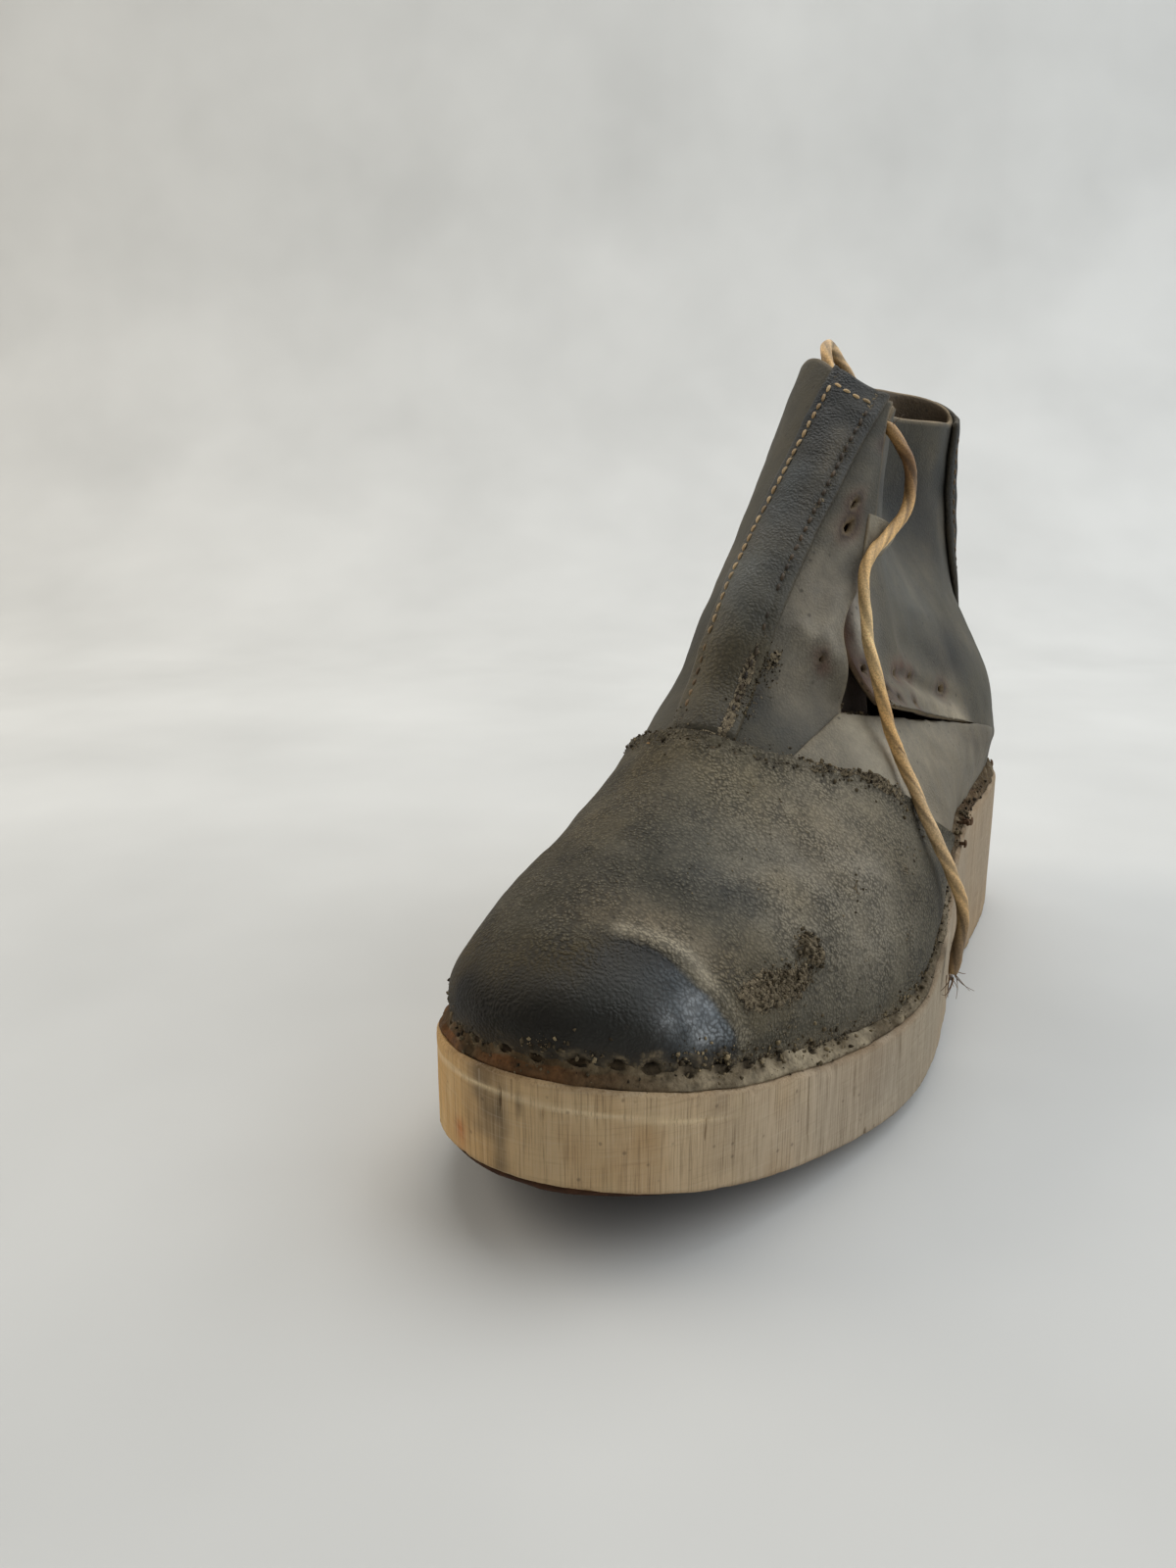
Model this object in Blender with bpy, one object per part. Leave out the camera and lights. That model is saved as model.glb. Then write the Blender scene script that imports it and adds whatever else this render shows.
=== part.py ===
"""Left ankle boot: a leather upper nailed to a thick wooden sole, worn and empty.

Frame: +X is the wearer's left (the outer side), the toe points to -Y, +Z is up.
The tables below are in millimetres. "s" is measured along the foot from the back of the heel.
"""

import math
from collections import namedtuple

import bmesh
import bpy
import numpy as np

MM = 0.001

# --- driving sizes, mm -------------------------------------------------------------------------
LENGTH = 290.0
HEEL_WIDTH = 75.8
FLOOR_TO_SEAT = 50.6        # top of the wood at the heel
FOREPART_THICK = 23.6       # wood at the ball
TREAD_THICK = 3.0           # leather layer under the forepart
TOE_SPRING = 16.4
ARCH_LIFT = 3.5
CORNER_PEAK = 3.5           # how far the inner quarter's top corner stands above the strip
CORNER_U = 0.565
LEDGE = 5.5                 # wood left bare outside the upper
WALL = 2.2                  # leather of the upper
GAP = 0.3                   # between touching pieces
MIDDLE_X = -2.15            # the frame's origin lies under the middle of the whole boot
MIDDLE_S = 144.8
RAND_THICK = 3.0
RAND_TOE_RISE = 2.6         # how much higher the rand stands round the toe
RAND_INSET = 0.9
RAND_GAP = 0.8             # between the rand and the upper
INSOLE_THICK = 2.4
STRIP_WIDTH = 20.0
STRIP_THICK = 1.8
STAY_WIDTH = 17.0
VAMP_STEP = 1.3             # how far the vamp's edge stands over the quarters
LACE_DIAMETER = 3.6

SLIT_U = 0.408              # place of the laced opening round the upper: 0 back, 0.5 near the front
SLIT_DRIFT = 0.050          # how much nearer the front it runs at the collar
CRACK_U = 0.170             # where the lifted lower edge of the rear quarter ends
CRACK_V = 0.50              # level of that edge

# --- sections ----------------------------------------------------------------------------------
# One row per section of the upper, from the wood to the collar. level places it between the two.
# back_s, back_z, back_x and front_s, front_z, front_x are its rearmost and foremost points.
# The next nine columns are sideways places on the outer (l) and inner (m) side at the heel, waist,
# ball and toe; tip is the half-width just behind the front. follow is how far it keeps the dip of
# the wood, and roll how much higher the inner side stands than the outer.
Section = namedtuple(
    "Section",
    "name level back_s back_z back_x front_s front_z front_x "
    "heel_l waist_l ball_l toe_l tip toe_m ball_m waist_m heel_m follow roll",
)
SOLE = Section("sole", 0, 0, 0, 0, LENGTH, 0, -8.2,
               HEEL_WIDTH / 2, 41.5, 50.1, 37.6, 27.7, -49.7, -53.8, -31.3, -HEEL_WIDTH / 2, 1, 0)
SECTIONS = [
    Section("low_wall", 0.08, 3.6, 52.6, 0, 286.0, 53.0, -8.2,
            34.0, 37.0, 46.0, 33.0, 24.5, -45.5, -49.0, -27.0, -34.0, 1.0, 0),
    Section("toe_box", 0.17, 3.0, 54.8, 0.5, 279.0, 60.5, -8.4,
            34.5, 37.0, 46.0, 33.0, 24.0, -41.0, -46.5, -27.0, -34.5, 0.9, 0),
    Section("toe_top", 0.27, 2.6, 57.0, 1.0, 257.0, 70.5, -8.6,
            34.5, 36.0, 43.0, 33.0, 22.0, -33.5, -39.0, -28.0, -34.5, 0.7, 0),
    Section("vamp", 0.38, 2.4, 59.0, 1.5, 226.0, 81.5, -8.5,
            34.5, 34.0, 36.0, 30.5, 18.5, -34.0, -34.0, -28.0, -34.5, 0.4, 0),
    Section("quarter", 0.50, 2.4, 61.5, 2.0, 195.0, 103.0, -8.0,
            34.0, 31.0, 26.5, 22.0, 14.0, -32.0, -30.0, -27.0, -34.0, 0.0, 0),
    Section("instep", 0.62, 5.5, 86.0, 3.5, 183.5, 122.0, -5.0,
            28.0, 25.0, 21.0, 20.0, 12.0, -27.0, -27.0, -26.0, -28.0, 0, 0),
    Section("ankle", 0.75, 14.0, 116.0, 6.0, 165.0, 142.0, -2.0,
            15.0, 14.0, 14.0, 17.0, 11.5, -23.0, -27.0, -26.0, -20.0, 0, 1.0),
    Section("shaft", 0.88, 19.5, 148.0, 7.0, 145.5, 162.0, 0.8,
            9.5, 5.0, 9.0, 14.0, 11.0, -19.5, -26.0, -26.0, -16.0, 0, 3.0),
    Section("collar", 1.00, 22.0, 178.2, 6.5, 125.0, 181.5, 3.5,
            11.0, 6.0, 8.5, 13.0, 10.5, -16.0, -22.0, -22.0, -13.0, 0, 5.8),
]

# Where along a section each of its fourteen points lies, from the back round the outer side.
STATIONS = np.array([0, 0.06, 0.16, 0.38, 0.644, 0.83, 0.95, 1, 0.955, 0.86, 0.70, 0.42, 0.16, 0.06])

# The vamp's edge: how far back it reaches at each height, from the wood up to the front centre.
VAMP_EDGE = [(45.0, 104.0), (54.0, 126.0), (62.0, 145.0), (69.0, 158.0), (76.0, 167.0),
             (82.0, 174.0), (86.0, 186.0), (92.0, 198.0), (96.0, 203.0), (100.0, 225.0)]


# --- curves ------------------------------------------------------------------------------------
class Spline:
    """Cubic curve through rows of values; closed when a period is given."""

    def __init__(self, knots, values, period=None):
        self.x = np.asarray(knots, float)
        self.y = np.asarray(values, float)
        self.period = period
        if period:
            self.x = np.append(self.x, self.x[0] + period)
            self.y = np.concatenate([self.y, self.y[:1]])
        self.bend = self.bend_matrix() @ self.y.reshape(len(self.y), -1)
        self.bend = self.bend.reshape(self.y.shape)

    def bend_matrix(self):
        """Matrix that turns the values into second derivatives at the knots."""
        x = self.x
        n = len(x)
        left = np.zeros((n, n))
        right = np.zeros((n, n))
        h = np.diff(x)
        for i in range(1, n - 1):
            left[i, i - 1:i + 2] = h[i - 1], 2 * (h[i - 1] + h[i]), h[i]
            right[i, i - 1:i + 2] = 6 / h[i - 1], -6 / h[i - 1] - 6 / h[i], 6 / h[i]
        if self.period:
            left[0, [0, 1, n - 2]] = 2 * (h[-1] + h[0]), h[0], h[-1]
            right[0, [0, 1, n - 2]] = -6 / h[-1] - 6 / h[0], 6 / h[0], 6 / h[-1]
            left[-1, [0, n - 1]] = -1, 1
        else:
            left[0, 0] = left[-1, -1] = 1
        return np.linalg.solve(left, right)

    def __call__(self, at):
        at = np.asarray(at, float)
        if self.period:
            at = self.x[0] + np.mod(at - self.x[0], self.period)
        k = np.clip(np.searchsorted(self.x, at, side="right") - 1, 0, len(self.x) - 2)
        h = self.x[k + 1] - self.x[k]
        b = (at - self.x[k]) / h
        a = 1 - b
        fit = (self.y.ndim - 1) * (None,)
        a, b, h = (np.asarray(w)[(...,) + fit] for w in (a, b, h))
        curve = ((a ** 3 - a) * self.bend[k] + (b ** 3 - b) * self.bend[k + 1]) * h ** 2 / 6
        return a * self.y[k] + b * self.y[k + 1] + curve


class Steady:
    """Curve through rows of values that never swings past them between two rows."""

    def __init__(self, knots, values):
        self.x = np.asarray(knots, float)
        self.y = np.asarray(values, float)
        slope = np.diff(self.y, axis=0) / np.diff(self.x)[:, None]
        before, after = slope[:-1], slope[1:]
        same_way = before * after > 0
        both = np.where(same_way, before + after, 1.0)
        inner = np.where(same_way, 2 * before * after / both, 0.0)
        self.slope = np.concatenate([slope[:1], inner, slope[-1:]])

    def __call__(self, at):
        at = np.asarray(at, float)
        k = np.clip(np.searchsorted(self.x, at, side="right") - 1, 0, len(self.x) - 2)
        h = (self.x[k + 1] - self.x[k])[..., None]
        t = (at[..., None] - self.x[k][..., None]) / h
        ends = self.y[k] * (1 + 2 * t) * (1 - t) ** 2 + self.y[k + 1] * t * t * (3 - 2 * t)
        return ends + h * (self.slope[k] * t * (1 - t) ** 2 - self.slope[k + 1] * t * t * (1 - t))


def smooth(x, low, high):
    """0 below low, 1 above high, eased between."""
    t = np.clip((x - low) / (high - low), 0, 1)
    return t * t * (3 - 2 * t)


def hump(x, centre, width):
    return np.exp(-((x - centre) / width) ** 2)


def ring_points(row):
    """The fourteen (s, x) points of one section."""
    s = row.back_s + STATIONS * (row.front_s - row.back_s)
    near_l = row.back_x + 0.8 * (row.heel_l - row.back_x)
    near_m = row.back_x + 0.8 * (row.heel_m - row.back_x)
    x = [row.back_x, near_l, row.heel_l, row.waist_l, row.ball_l, row.toe_l, row.front_x + row.tip,
         row.front_x, row.front_x - row.tip, row.toe_m, row.ball_m, row.waist_m, row.heel_m, near_m]
    return np.stack([s, x], axis=1)


def ring_knots():
    """Shared places of the fourteen points round a section, 0 at the back and 1 after a full turn."""
    points = ring_points(SOLE)
    steps = np.linalg.norm(np.roll(points, -1, axis=0) - points, axis=1)
    return np.concatenate([[0], np.cumsum(steps)[:-1]]) / steps.sum()


KNOTS = ring_knots()
FRONT_U = KNOTS[7]


# --- the wood ----------------------------------------------------------------------------------
def wood_bottom(s):
    """Underside of the wood: heel on the floor, waist hollowed, forepart on the tread, toe sprung."""
    t = np.asarray(s, float) / LENGTH
    forepart = (TREAD_THICK + GAP) * smooth(t, 0.36, 0.44)
    arch = ARCH_LIFT * smooth(t, 0.27, 0.33) * (1 - smooth(t, 0.36, 0.44))
    spring = TOE_SPRING * np.clip((t - 0.62) / 0.38, 0, 1) ** 2
    return forepart + arch + spring


def wood_top(s):
    """Footbed: level under the heel, falling to the ball, then rising with the toe."""
    t = np.asarray(s, float) / LENGTH
    fall = smooth(t, 0.30, 0.68)
    heel = FLOOR_TO_SEAT + 1.6 * smooth(t, 0.0, 0.40)
    spring = TOE_SPRING * np.clip((t - 0.62) / 0.38, 0, 1) ** 2
    return heel * (1 - fall) + (TREAD_THICK + GAP + FOREPART_THICK + spring) * fall


SOLE_RING = Spline(KNOTS, ring_points(SOLE), 1.0)


def sole_outline(u, inset=0.0):
    """(s, x) of the wood's edge, moved inwards by inset."""
    step = 1e-4
    along = SOLE_RING(u + step) - SOLE_RING(u - step)
    along /= np.linalg.norm(along, axis=-1, keepdims=True)
    inward = np.stack([along[..., 1], -along[..., 0]], axis=-1)
    return SOLE_RING(u) - inward * -inset


# --- the upper's surface -----------------------------------------------------------------------
def upper_splines():
    feather = sole_outline(KNOTS, LEDGE)
    rings = [feather] + [ring_points(row) for row in SECTIONS]
    first = Section("feather", 0.0, feather[0, 0], wood_top(feather[0, 0]) + GAP, 0,
                    feather[7, 0], wood_top(feather[7, 0]) + GAP, *([0] * 12))
    rows = [first._replace(follow=1.0)] + SECTIONS
    levels = [row.level for row in rows]
    numbers = [(row.back_s, row.back_z, row.front_s, row.front_z, row.follow, row.roll)
               for row in rows]
    return Spline(levels, rings), Steady(levels, numbers)


RINGS, NUMBERS = upper_splines()
TURN = Spline(KNOTS, np.eye(len(KNOTS)), 1.0)
RING_ZERO = Spline(KNOTS, sole_outline(KNOTS, LEDGE), 1.0)


def side_of(u):
    """+1 on the outer side, -1 on the inner side, eased through 0 at the back and front."""
    half = np.where(u < FRONT_U, u / FRONT_U, 1 + (u - FRONT_U) / (1 - FRONT_U))
    return np.tanh(4.5 * np.sin(math.pi * half))


def base_point(u, v):
    """Point of the upper's outer surface before folds, as (x, s, z)."""
    u = np.mod(np.asarray(u, float), 1.0)
    v = np.asarray(v, float)
    u, v = np.broadcast_arrays(u, v)
    plan = np.einsum("...i,...ij->...j", TURN(u), RINGS(v))
    fade = 1 - smooth(v, 0.0, 0.10)
    plan = plan + fade[..., None] * (sole_outline(u, LEDGE) - RING_ZERO(u))
    s, x = plan[..., 0], plan[..., 1]
    back_s, back_z, front_s, front_z, follow, roll = np.moveaxis(NUMBERS(v), -1, 0)
    along = (s - back_s) / (front_s - back_s)
    level = back_z + along * (front_z - back_z)
    edge = wood_top(back_s) + along * (wood_top(front_s) - wood_top(back_s))
    z = level + follow * (wood_top(s) - edge) - roll * side_of(u)
    z = z + CORNER_PEAK * hump(u, CORNER_U, 0.04) * smooth(v, 0.80, 1.0)
    return np.stack([x, s, z], axis=-1)


def base_normal(u, v):
    step = 1e-3
    low = np.maximum(v - step, 0)
    high = np.minimum(v + step, 1)
    du = base_point(u + step, v) - base_point(u - step, v)
    dv = base_point(u, high) - base_point(u, low)
    normal = np.cross(du, dv)
    return normal / np.linalg.norm(normal, axis=-1, keepdims=True)


# Soft folds pressed into the leather: place (s, z, side), depth along the normal, reach along s
# and along z. Positive stands out, negative sinks in.
Fold = namedtuple("Fold", "name side s z depth reach_s reach_z")
FOLDS = [
    Fold("caved_quarter", 1, 68, 154, -8.0, 25, 27),
    Fold("ankle_bulge", 1, 55, 84, 1.5, 30, 12),
    Fold("panel_fold", 1, 142, 120, -2.0, 12, 22),
    Fold("toe_dent", 1, 240, 66, -1.5, 18, 9),
    Fold("ankle_crease", -1, 120, 104, -2.5, 40, 6),
]


def fold_height(point, u):
    total = np.zeros(point.shape[:-1])
    side = side_of(u)
    for fold in FOLDS:
        share = smooth(side * fold.side, 0.0, 0.8)
        total += share * fold.depth * hump(point[..., 1], fold.s, fold.reach_s) \
            * hump(point[..., 2], fold.z, fold.reach_z)
    return total


def slit_u(v):
    """Place of the laced opening round the upper at level v."""
    return SLIT_U + SLIT_DRIFT * smooth(v, 0.76, 1.02)


def slit_gap(v):
    """How far the rear quarter's edge stays behind the front panel's: wide at both ends."""
    return 10.0 * hump(v, CRACK_V, 0.07) + 1.2 + 9.6 * smooth(v, 0.84, 0.93)


def lift_front(u, v):
    """The front panel's free edge stands out a little over the rear quarter."""
    away = (u - slit_u(v)) * girth(v)
    near = np.where(away >= -1e-6, np.exp(-np.abs(away) / 11), 0)
    return 2.0 * near * smooth(v, CRACK_V, CRACK_V + 0.10)


def girth(v):
    """Length round the upper at level v, close enough to space things by."""
    return 700 - 440 * smooth(v, 0.05, 0.85)


def lift_rear(u, v):
    """The rear quarter sinks behind the panel high up, and its lower corner curls out."""
    away = np.maximum((slit_u(v) - u) * girth(v), 0)
    up = (v - CRACK_V) * 160
    sunk = -3.0 * np.exp(-away / 16) * smooth(v, 0.62, 0.74)
    open_corner = smooth(u, CRACK_U, SLIT_U)
    curl = 7.0 * open_corner * np.exp(-up / 7) + 0.9 * np.exp(-up / 5) * smooth(u, CRACK_U, CRACK_U + 0.02)
    flap = 3.0 * np.exp(-away / 5) * hump(up, 6, 9)
    return sunk + curl + flap


def upper_point(u, v, offset=0.0, tag="body"):
    """Point of the finished upper in (x, s, z); offset is measured out of the leather."""
    point = base_point(u, v)
    normal = base_normal(u, v)
    height = fold_height(point, u) + offset
    if tag == "front":
        height = height + lift_front(u, v)
    if tag == "rear":
        height = height + lift_rear(u, v)
    return point + normal * height[..., None]


def world(point):
    """(x, s, z) in millimetres to the frame in metres."""
    x, s, z = np.moveaxis(np.asarray(point, float), -1, 0)
    return np.stack([x - MIDDLE_X, MIDDLE_S - s, z], axis=-1) * MM


# --- mesh helpers ------------------------------------------------------------------------------
def material(name, colour, roughness, metallic=0.0):
    made = bpy.data.materials.new(name)
    made.use_nodes = True
    shader = made.node_tree.nodes["Principled BSDF"]
    shader.inputs["Base Color"].default_value = (*colour, 1)
    shader.inputs["Roughness"].default_value = roughness
    shader.inputs["Metallic"].default_value = metallic
    return made


def add_object(name, vertices, faces, finish, sharp=40):
    mesh = bpy.data.meshes.new(name)
    mesh.from_pydata([tuple(map(float, v)) for v in vertices], [], faces)
    shape = bmesh.new()
    shape.from_mesh(mesh)
    bmesh.ops.recalc_face_normals(shape, faces=shape.faces)
    shape.to_mesh(mesh)
    shape.free()
    mesh.shade_smooth()
    mesh.set_sharp_from_angle(angle=math.radians(sharp))
    mesh.materials.append(finish)
    placed = bpy.data.objects.new(name, mesh)
    bpy.context.scene.collection.objects.link(placed)
    return placed


def thick_sheet(name, corners, outer, inner, finish):
    """Closed solid from quads or triangles of keys: outer and inner give each key's two points."""
    keys = sorted({key for face in corners for key in face})
    index = {key: i for i, key in enumerate(keys)}
    count = len(keys)
    faces = []
    edges = {}
    for face in corners:
        ring = [index[key] for key in face]
        faces.append(ring)
        faces.append([i + count for i in reversed(ring)])
        for a, b in zip(ring, ring[1:] + ring[:1]):
            edges[(a, b)] = edges.get((a, b), 0) + 1
    for a, b in edges:
        if (b, a) not in edges:
            faces.append([b, a, a + count, b + count])
    points = [outer[key] for key in keys] + [inner[key] for key in keys]
    return add_object(name, world(np.array(points)), faces, finish)


def grid_patch(name, us, vs, outer_at, inner_at, finish, closed=False):
    """Closed solid over a grid; us may be given per row as an array (rows, columns)."""
    us = np.asarray(us, float)
    vs = np.asarray(vs, float)
    if us.ndim == 1:
        us = np.broadcast_to(us, (len(vs), len(us)))
    if vs.ndim == 1:
        vs = np.broadcast_to(vs[:, None], us.shape)
    rows, columns = us.shape
    out = outer_at(us, vs)
    into = inner_at(us, vs)
    outer = {(j, i): out[j, i] for j in range(rows) for i in range(columns)}
    inner = {(j, i): into[j, i] for j in range(rows) for i in range(columns)}
    corners = []
    for j in range(rows - 1):
        for i in range(columns if closed else columns - 1):
            k = (i + 1) % columns
            corners.append([(j, i), (j, k), (j + 1, k), (j + 1, i)])
    return thick_sheet(name, corners, outer, inner, finish)


def clipped_patch(name, us, vs, keep, outer_at, inner_at, finish):
    """Closed solid over the part of a closed grid where keep(u, v) is positive."""
    columns = len(us)
    grid_u, grid_v = np.meshgrid(us, vs)
    depth = keep(grid_u, grid_v)
    places = {}

    def corner(j, i):
        key = (j, i % columns, -1, -1)
        places[key] = (us[i % columns] + (i // columns), vs[j])
        return key

    def crossing(first, second):
        a, b = sorted([first, second])
        key = a[:2] + b[:2]
        da, db = depth[a[:2]], depth[b[:2]]
        share = np.clip(da / (da - db), 0.05, 0.95)
        ua, ub = places[a][0] % 1, places[b][0] % 1
        ub = ub + round(ua - ub)
        places[key] = (ua + share * (ub - ua), places[a][1] + share * (places[b][1] - places[a][1]))
        return key

    corners = []
    for j in range(len(vs) - 1):
        for i in range(columns):
            ring = [corner(j, i), corner(j, i + 1), corner(j + 1, i + 1), corner(j + 1, i)]
            kept = []
            for a, b in zip(ring, ring[1:] + ring[:1]):
                inside_a, inside_b = depth[a[:2]] > 0, depth[b[:2]] > 0
                if inside_a:
                    kept.append(a)
                if inside_a != inside_b:
                    kept.append(crossing(a, b))
            if len(kept) > 2:
                corners.append(kept)
    keys = sorted({key for face in corners for key in face})
    u = np.array([places[key][0] for key in keys])
    v = np.array([places[key][1] for key in keys])
    outer = dict(zip(keys, outer_at(u, v)))
    inner = dict(zip(keys, inner_at(u, v)))
    return thick_sheet(name, corners, outer, inner, finish)


def boolean(target, other, operation):
    change = target.modifiers.new(operation.lower() + "_" + other.name, "BOOLEAN")
    change.operation = operation
    change.solver = "EXACT"
    change.object = other
    other.hide_render = True
    other.display_type = "WIRE"


# --- the pieces --------------------------------------------------------------------------------
def ring_solid(name, outline_low, outline_high, z_low, z_high, finish, rings=2):
    """Plate between two outlines of (s, x): its sides are ruled, its faces are closed by strips."""
    count = len(outline_low)
    layers = []
    for k in range(rings):
        t = k / (rings - 1)
        flat = outline_low * (1 - t) + outline_high * t
        z = z_low(flat[:, 0]) * (1 - t) + z_high(flat[:, 0]) * t
        layers.append(np.column_stack([flat[:, 1], flat[:, 0], z]))
    points = np.concatenate(layers)
    faces = []
    for k in range(rings - 1):
        for i in range(count):
            n = (i + 1) % count
            faces.append([k * count + n, k * count + i, (k + 1) * count + i, (k + 1) * count + n])
    half = count // 2
    top = (rings - 1) * count
    for i in range(half):
        a, b = i, i + 1
        c, d = (count - i - 1) % count, (count - i) % count
        low = [a, b, c, d] if d != a else [a, b, c]
        if b == c:
            low = [a, b, d]
        faces.append(low)
        faces.append([top + n for n in reversed(low)])
    return add_object(name, world(points), faces, finish)


def mirrored_places(count):
    """Places round a section so that the two sides pair up at like distances from the back."""
    half = count // 2
    t = (1 - np.cos(np.linspace(0, math.pi, half + 1))) / 2 * 0.25 + np.linspace(0, 1, half + 1) * 0.75
    outer_side = FRONT_U * t
    inner_side = 1 - (1 - FRONT_U) * t
    return np.concatenate([outer_side, inner_side[-2:0:-1]])


def make_wood_sole(finish):
    places = mirrored_places(96)
    edge = sole_outline(places)
    return ring_solid("wood_sole", edge, edge, wood_bottom, wood_top, finish, rings=4)


def make_tread(finish):
    """Thin leather under the forepart, set in from the wood's edge."""
    start, inset = 0.455, 2.2
    places = mirrored_places(96)
    edge = sole_outline(places, inset)
    edge = edge[edge[:, 0] > start * LENGTH]
    outer_side = edge[edge[:, 1] > SOLE.front_x]
    inner_side = edge[edge[:, 1] <= SOLE.front_x][::-1]
    rows = []
    for t in np.linspace(0, 1, 24):
        s = start * LENGTH + (edge[:, 0].max() - 0.6 - start * LENGTH) * (1 - (1 - t) ** 1.6)
        left = np.interp(s, outer_side[:, 0], outer_side[:, 1])
        right = np.interp(s, inner_side[:, 0], inner_side[:, 1])
        rows.append([(left, s), (right, s)])
    points = []
    for pair in rows:
        for x, s in pair:
            top = float(wood_bottom(s)) - GAP
            points.append((x, s, top))
            points.append((x, s, top - TREAD_THICK))
    faces = []
    for k in range(len(rows) - 1):
        a, b = 4 * k, 4 * (k + 1)
        faces.append([a, b, b + 2, a + 2])
        faces.append([a + 1, a + 3, b + 3, b + 1])
        faces.append([a, a + 1, b + 1, b])
        faces.append([a + 2, b + 2, b + 3, a + 3])
    last = 4 * (len(rows) - 1)
    faces.append([0, 2, 3, 1])
    faces.append([last, last + 1, last + 3, last + 2])
    return add_object("sole_tread", world(np.array(points)), faces, finish)


def make_insole(finish):
    places = mirrored_places(72)
    edge = sole_outline(places, LEDGE + WALL + 0.8)

    def low(s):
        return wood_top(s) + GAP

    def high(s):
        return wood_top(s) + GAP + INSOLE_THICK

    return ring_solid("insole", edge, edge, low, high, finish)


def beside_upper(u, lift, clearance):
    """(x, s) just clear of the upper at a height above the wood's ledge, for each u."""
    levels = np.linspace(0, 0.2, 41)
    grid_u, grid_v = np.meshgrid(u, levels, indexing="ij")
    offset = VAMP_STEP * smooth(vamp_keep(grid_u, grid_v), -6, 1) * smooth(grid_v, 0.02, 0.036)
    points = upper_point(grid_u, grid_v, offset + clearance)
    rise = points[..., 2] - wood_top(points[..., 1])
    pick = np.argmax(rise >= np.reshape(lift, (-1, 1)), axis=1)
    return points[np.arange(len(u)), pick, :2]


def make_rand(finish):
    """Strip nailed round the foot of the upper, on the wood's ledge."""
    places = np.linspace(0, 1, 96, endpoint=False)
    thick = RAND_THICK + RAND_TOE_RISE * hump(places, FRONT_U, 0.09)
    low = beside_upper(places, GAP + 0.1, RAND_GAP)
    high = beside_upper(places, GAP + thick, RAND_GAP)
    edge = sole_outline(places, RAND_INSET)[:, ::-1]
    top_edge = sole_outline(places, RAND_INSET + 0.5)[:, ::-1]
    sides = []
    for flat, lift in ((low, GAP), (edge, GAP), (top_edge, GAP + thick * 0.75), (high, GAP + thick)):
        sides.append(np.column_stack([flat, wood_top(flat[:, 1]) + lift]))
    points = np.concatenate(sides)
    count = len(places)
    faces = []
    for k in range(4):
        n = (k + 1) % 4
        for i in range(count):
            j = (i + 1) % count
            faces.append([k * count + j, k * count + i, n * count + i, n * count + j])
    return add_object("rand", world(points), faces, finish)


def vamp_keep(u, v):
    """Millimetres inside the vamp: positive in front of its edge."""
    point = base_point(u, v)
    heights = [row[0] for row in VAMP_EDGE]
    reach = [row[1] for row in VAMP_EDGE]
    return point[..., 1] - np.interp(point[..., 2], heights, reach)


def upper_grid():
    """Places of the grid lines: close together round the toe and the laced opening."""
    rear = np.concatenate([[0, 0.02, 0.04, 0.065, 0.10, 0.135]])
    side = np.linspace(CRACK_U, SLIT_U, 14, endpoint=False)
    front = np.linspace(SLIT_U, 1 - SLIT_U, 15, endpoint=False)
    inner_side = np.concatenate([np.linspace(1 - SLIT_U, 0.90, 14), [0.93, 0.955, 0.98]])
    us = np.concatenate([rear, side, front, inner_side])
    vs = np.concatenate([[0, 0.035], np.linspace(0.08, CRACK_V, 9), np.linspace(CRACK_V, 1, 13)[1:]])
    return us, vs


def make_upper(finish):
    """One hollow shell. Its rear outer quarter is free along the laced slit and its lower edge."""
    us, vs = upper_grid()
    columns, rows = len(us), len(vs)
    crack_row = int(np.argmin(np.abs(vs - CRACK_V)))
    slit = int(np.argmin(np.abs(us - SLIT_U)))
    tip = int(np.argmin(np.abs(us - CRACK_U)))

    def tag_of(j, i, cell_j, cell_i):
        on_slit = i == slit and j >= crack_row
        on_crack = j == crack_row and tip < i <= slit
        rear_cell = tip <= cell_i < slit and cell_j >= crack_row
        if (on_slit or on_crack) and rear_cell:
            return "rear"
        return "body"

    corners = []
    for j in range(rows - 1):
        for i in range(columns):
            ring = []
            for jj, ii in ((j, i), (j, i + 1), (j + 1, i + 1), (j + 1, i)):
                ii %= columns
                ring.append((jj, ii, tag_of(jj, ii, j, i)))
            corners.append(ring)
    outer = {}
    inner = {}
    for key in {key for face in corners for key in face}:
        j, i, tag = key
        v = vs[j]
        u = us[i] + (slit_u(v) - SLIT_U) * hump(us[i], SLIT_U, 0.05)
        in_rear = tip < i < slit and j > crack_row
        kind = "body"
        if tag == "rear" or in_rear:
            kind = "rear"
        elif i >= slit and j >= crack_row and i < slit + 8:
            kind = "front"
        if kind == "rear":
            u = u - slit_gap(v) / girth(v) * math.exp(-(SLIT_U - us[i]) / 0.06)
        if tag == "rear" and j == crack_row:
            v = v + 0.010
        for into, offset in ((outer, 0.0), (inner, -WALL)):
            into[key] = upper_point(np.array(u), np.array(v), offset, kind)
    shell = thick_sheet("upper", corners, outer, inner, finish)
    vamp = clipped_patch(
        "vamp_layer", np.linspace(0, 1, 72, endpoint=False), np.linspace(0.036, 0.62, 22), vamp_keep,
        lambda u, v: upper_point(u, v, VAMP_STEP * smooth(vamp_keep(u, v), -6, 1)),
        lambda u, v: upper_point(u, v, -0.9),
        finish)
    boolean(shell, vamp, "UNION")
    return shell


def u_beside(centre_u, v, distance):
    """Place at a given distance round the upper from centre_u, at level v."""
    steps = np.linspace(0, math.copysign(0.09, distance), 60)
    points = upper_point(centre_u + steps, np.full(60, v))
    run = np.concatenate([[0], np.cumsum(np.linalg.norm(np.diff(points, axis=0), axis=1))])
    return centre_u + float(np.interp(abs(distance), run, steps))


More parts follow.
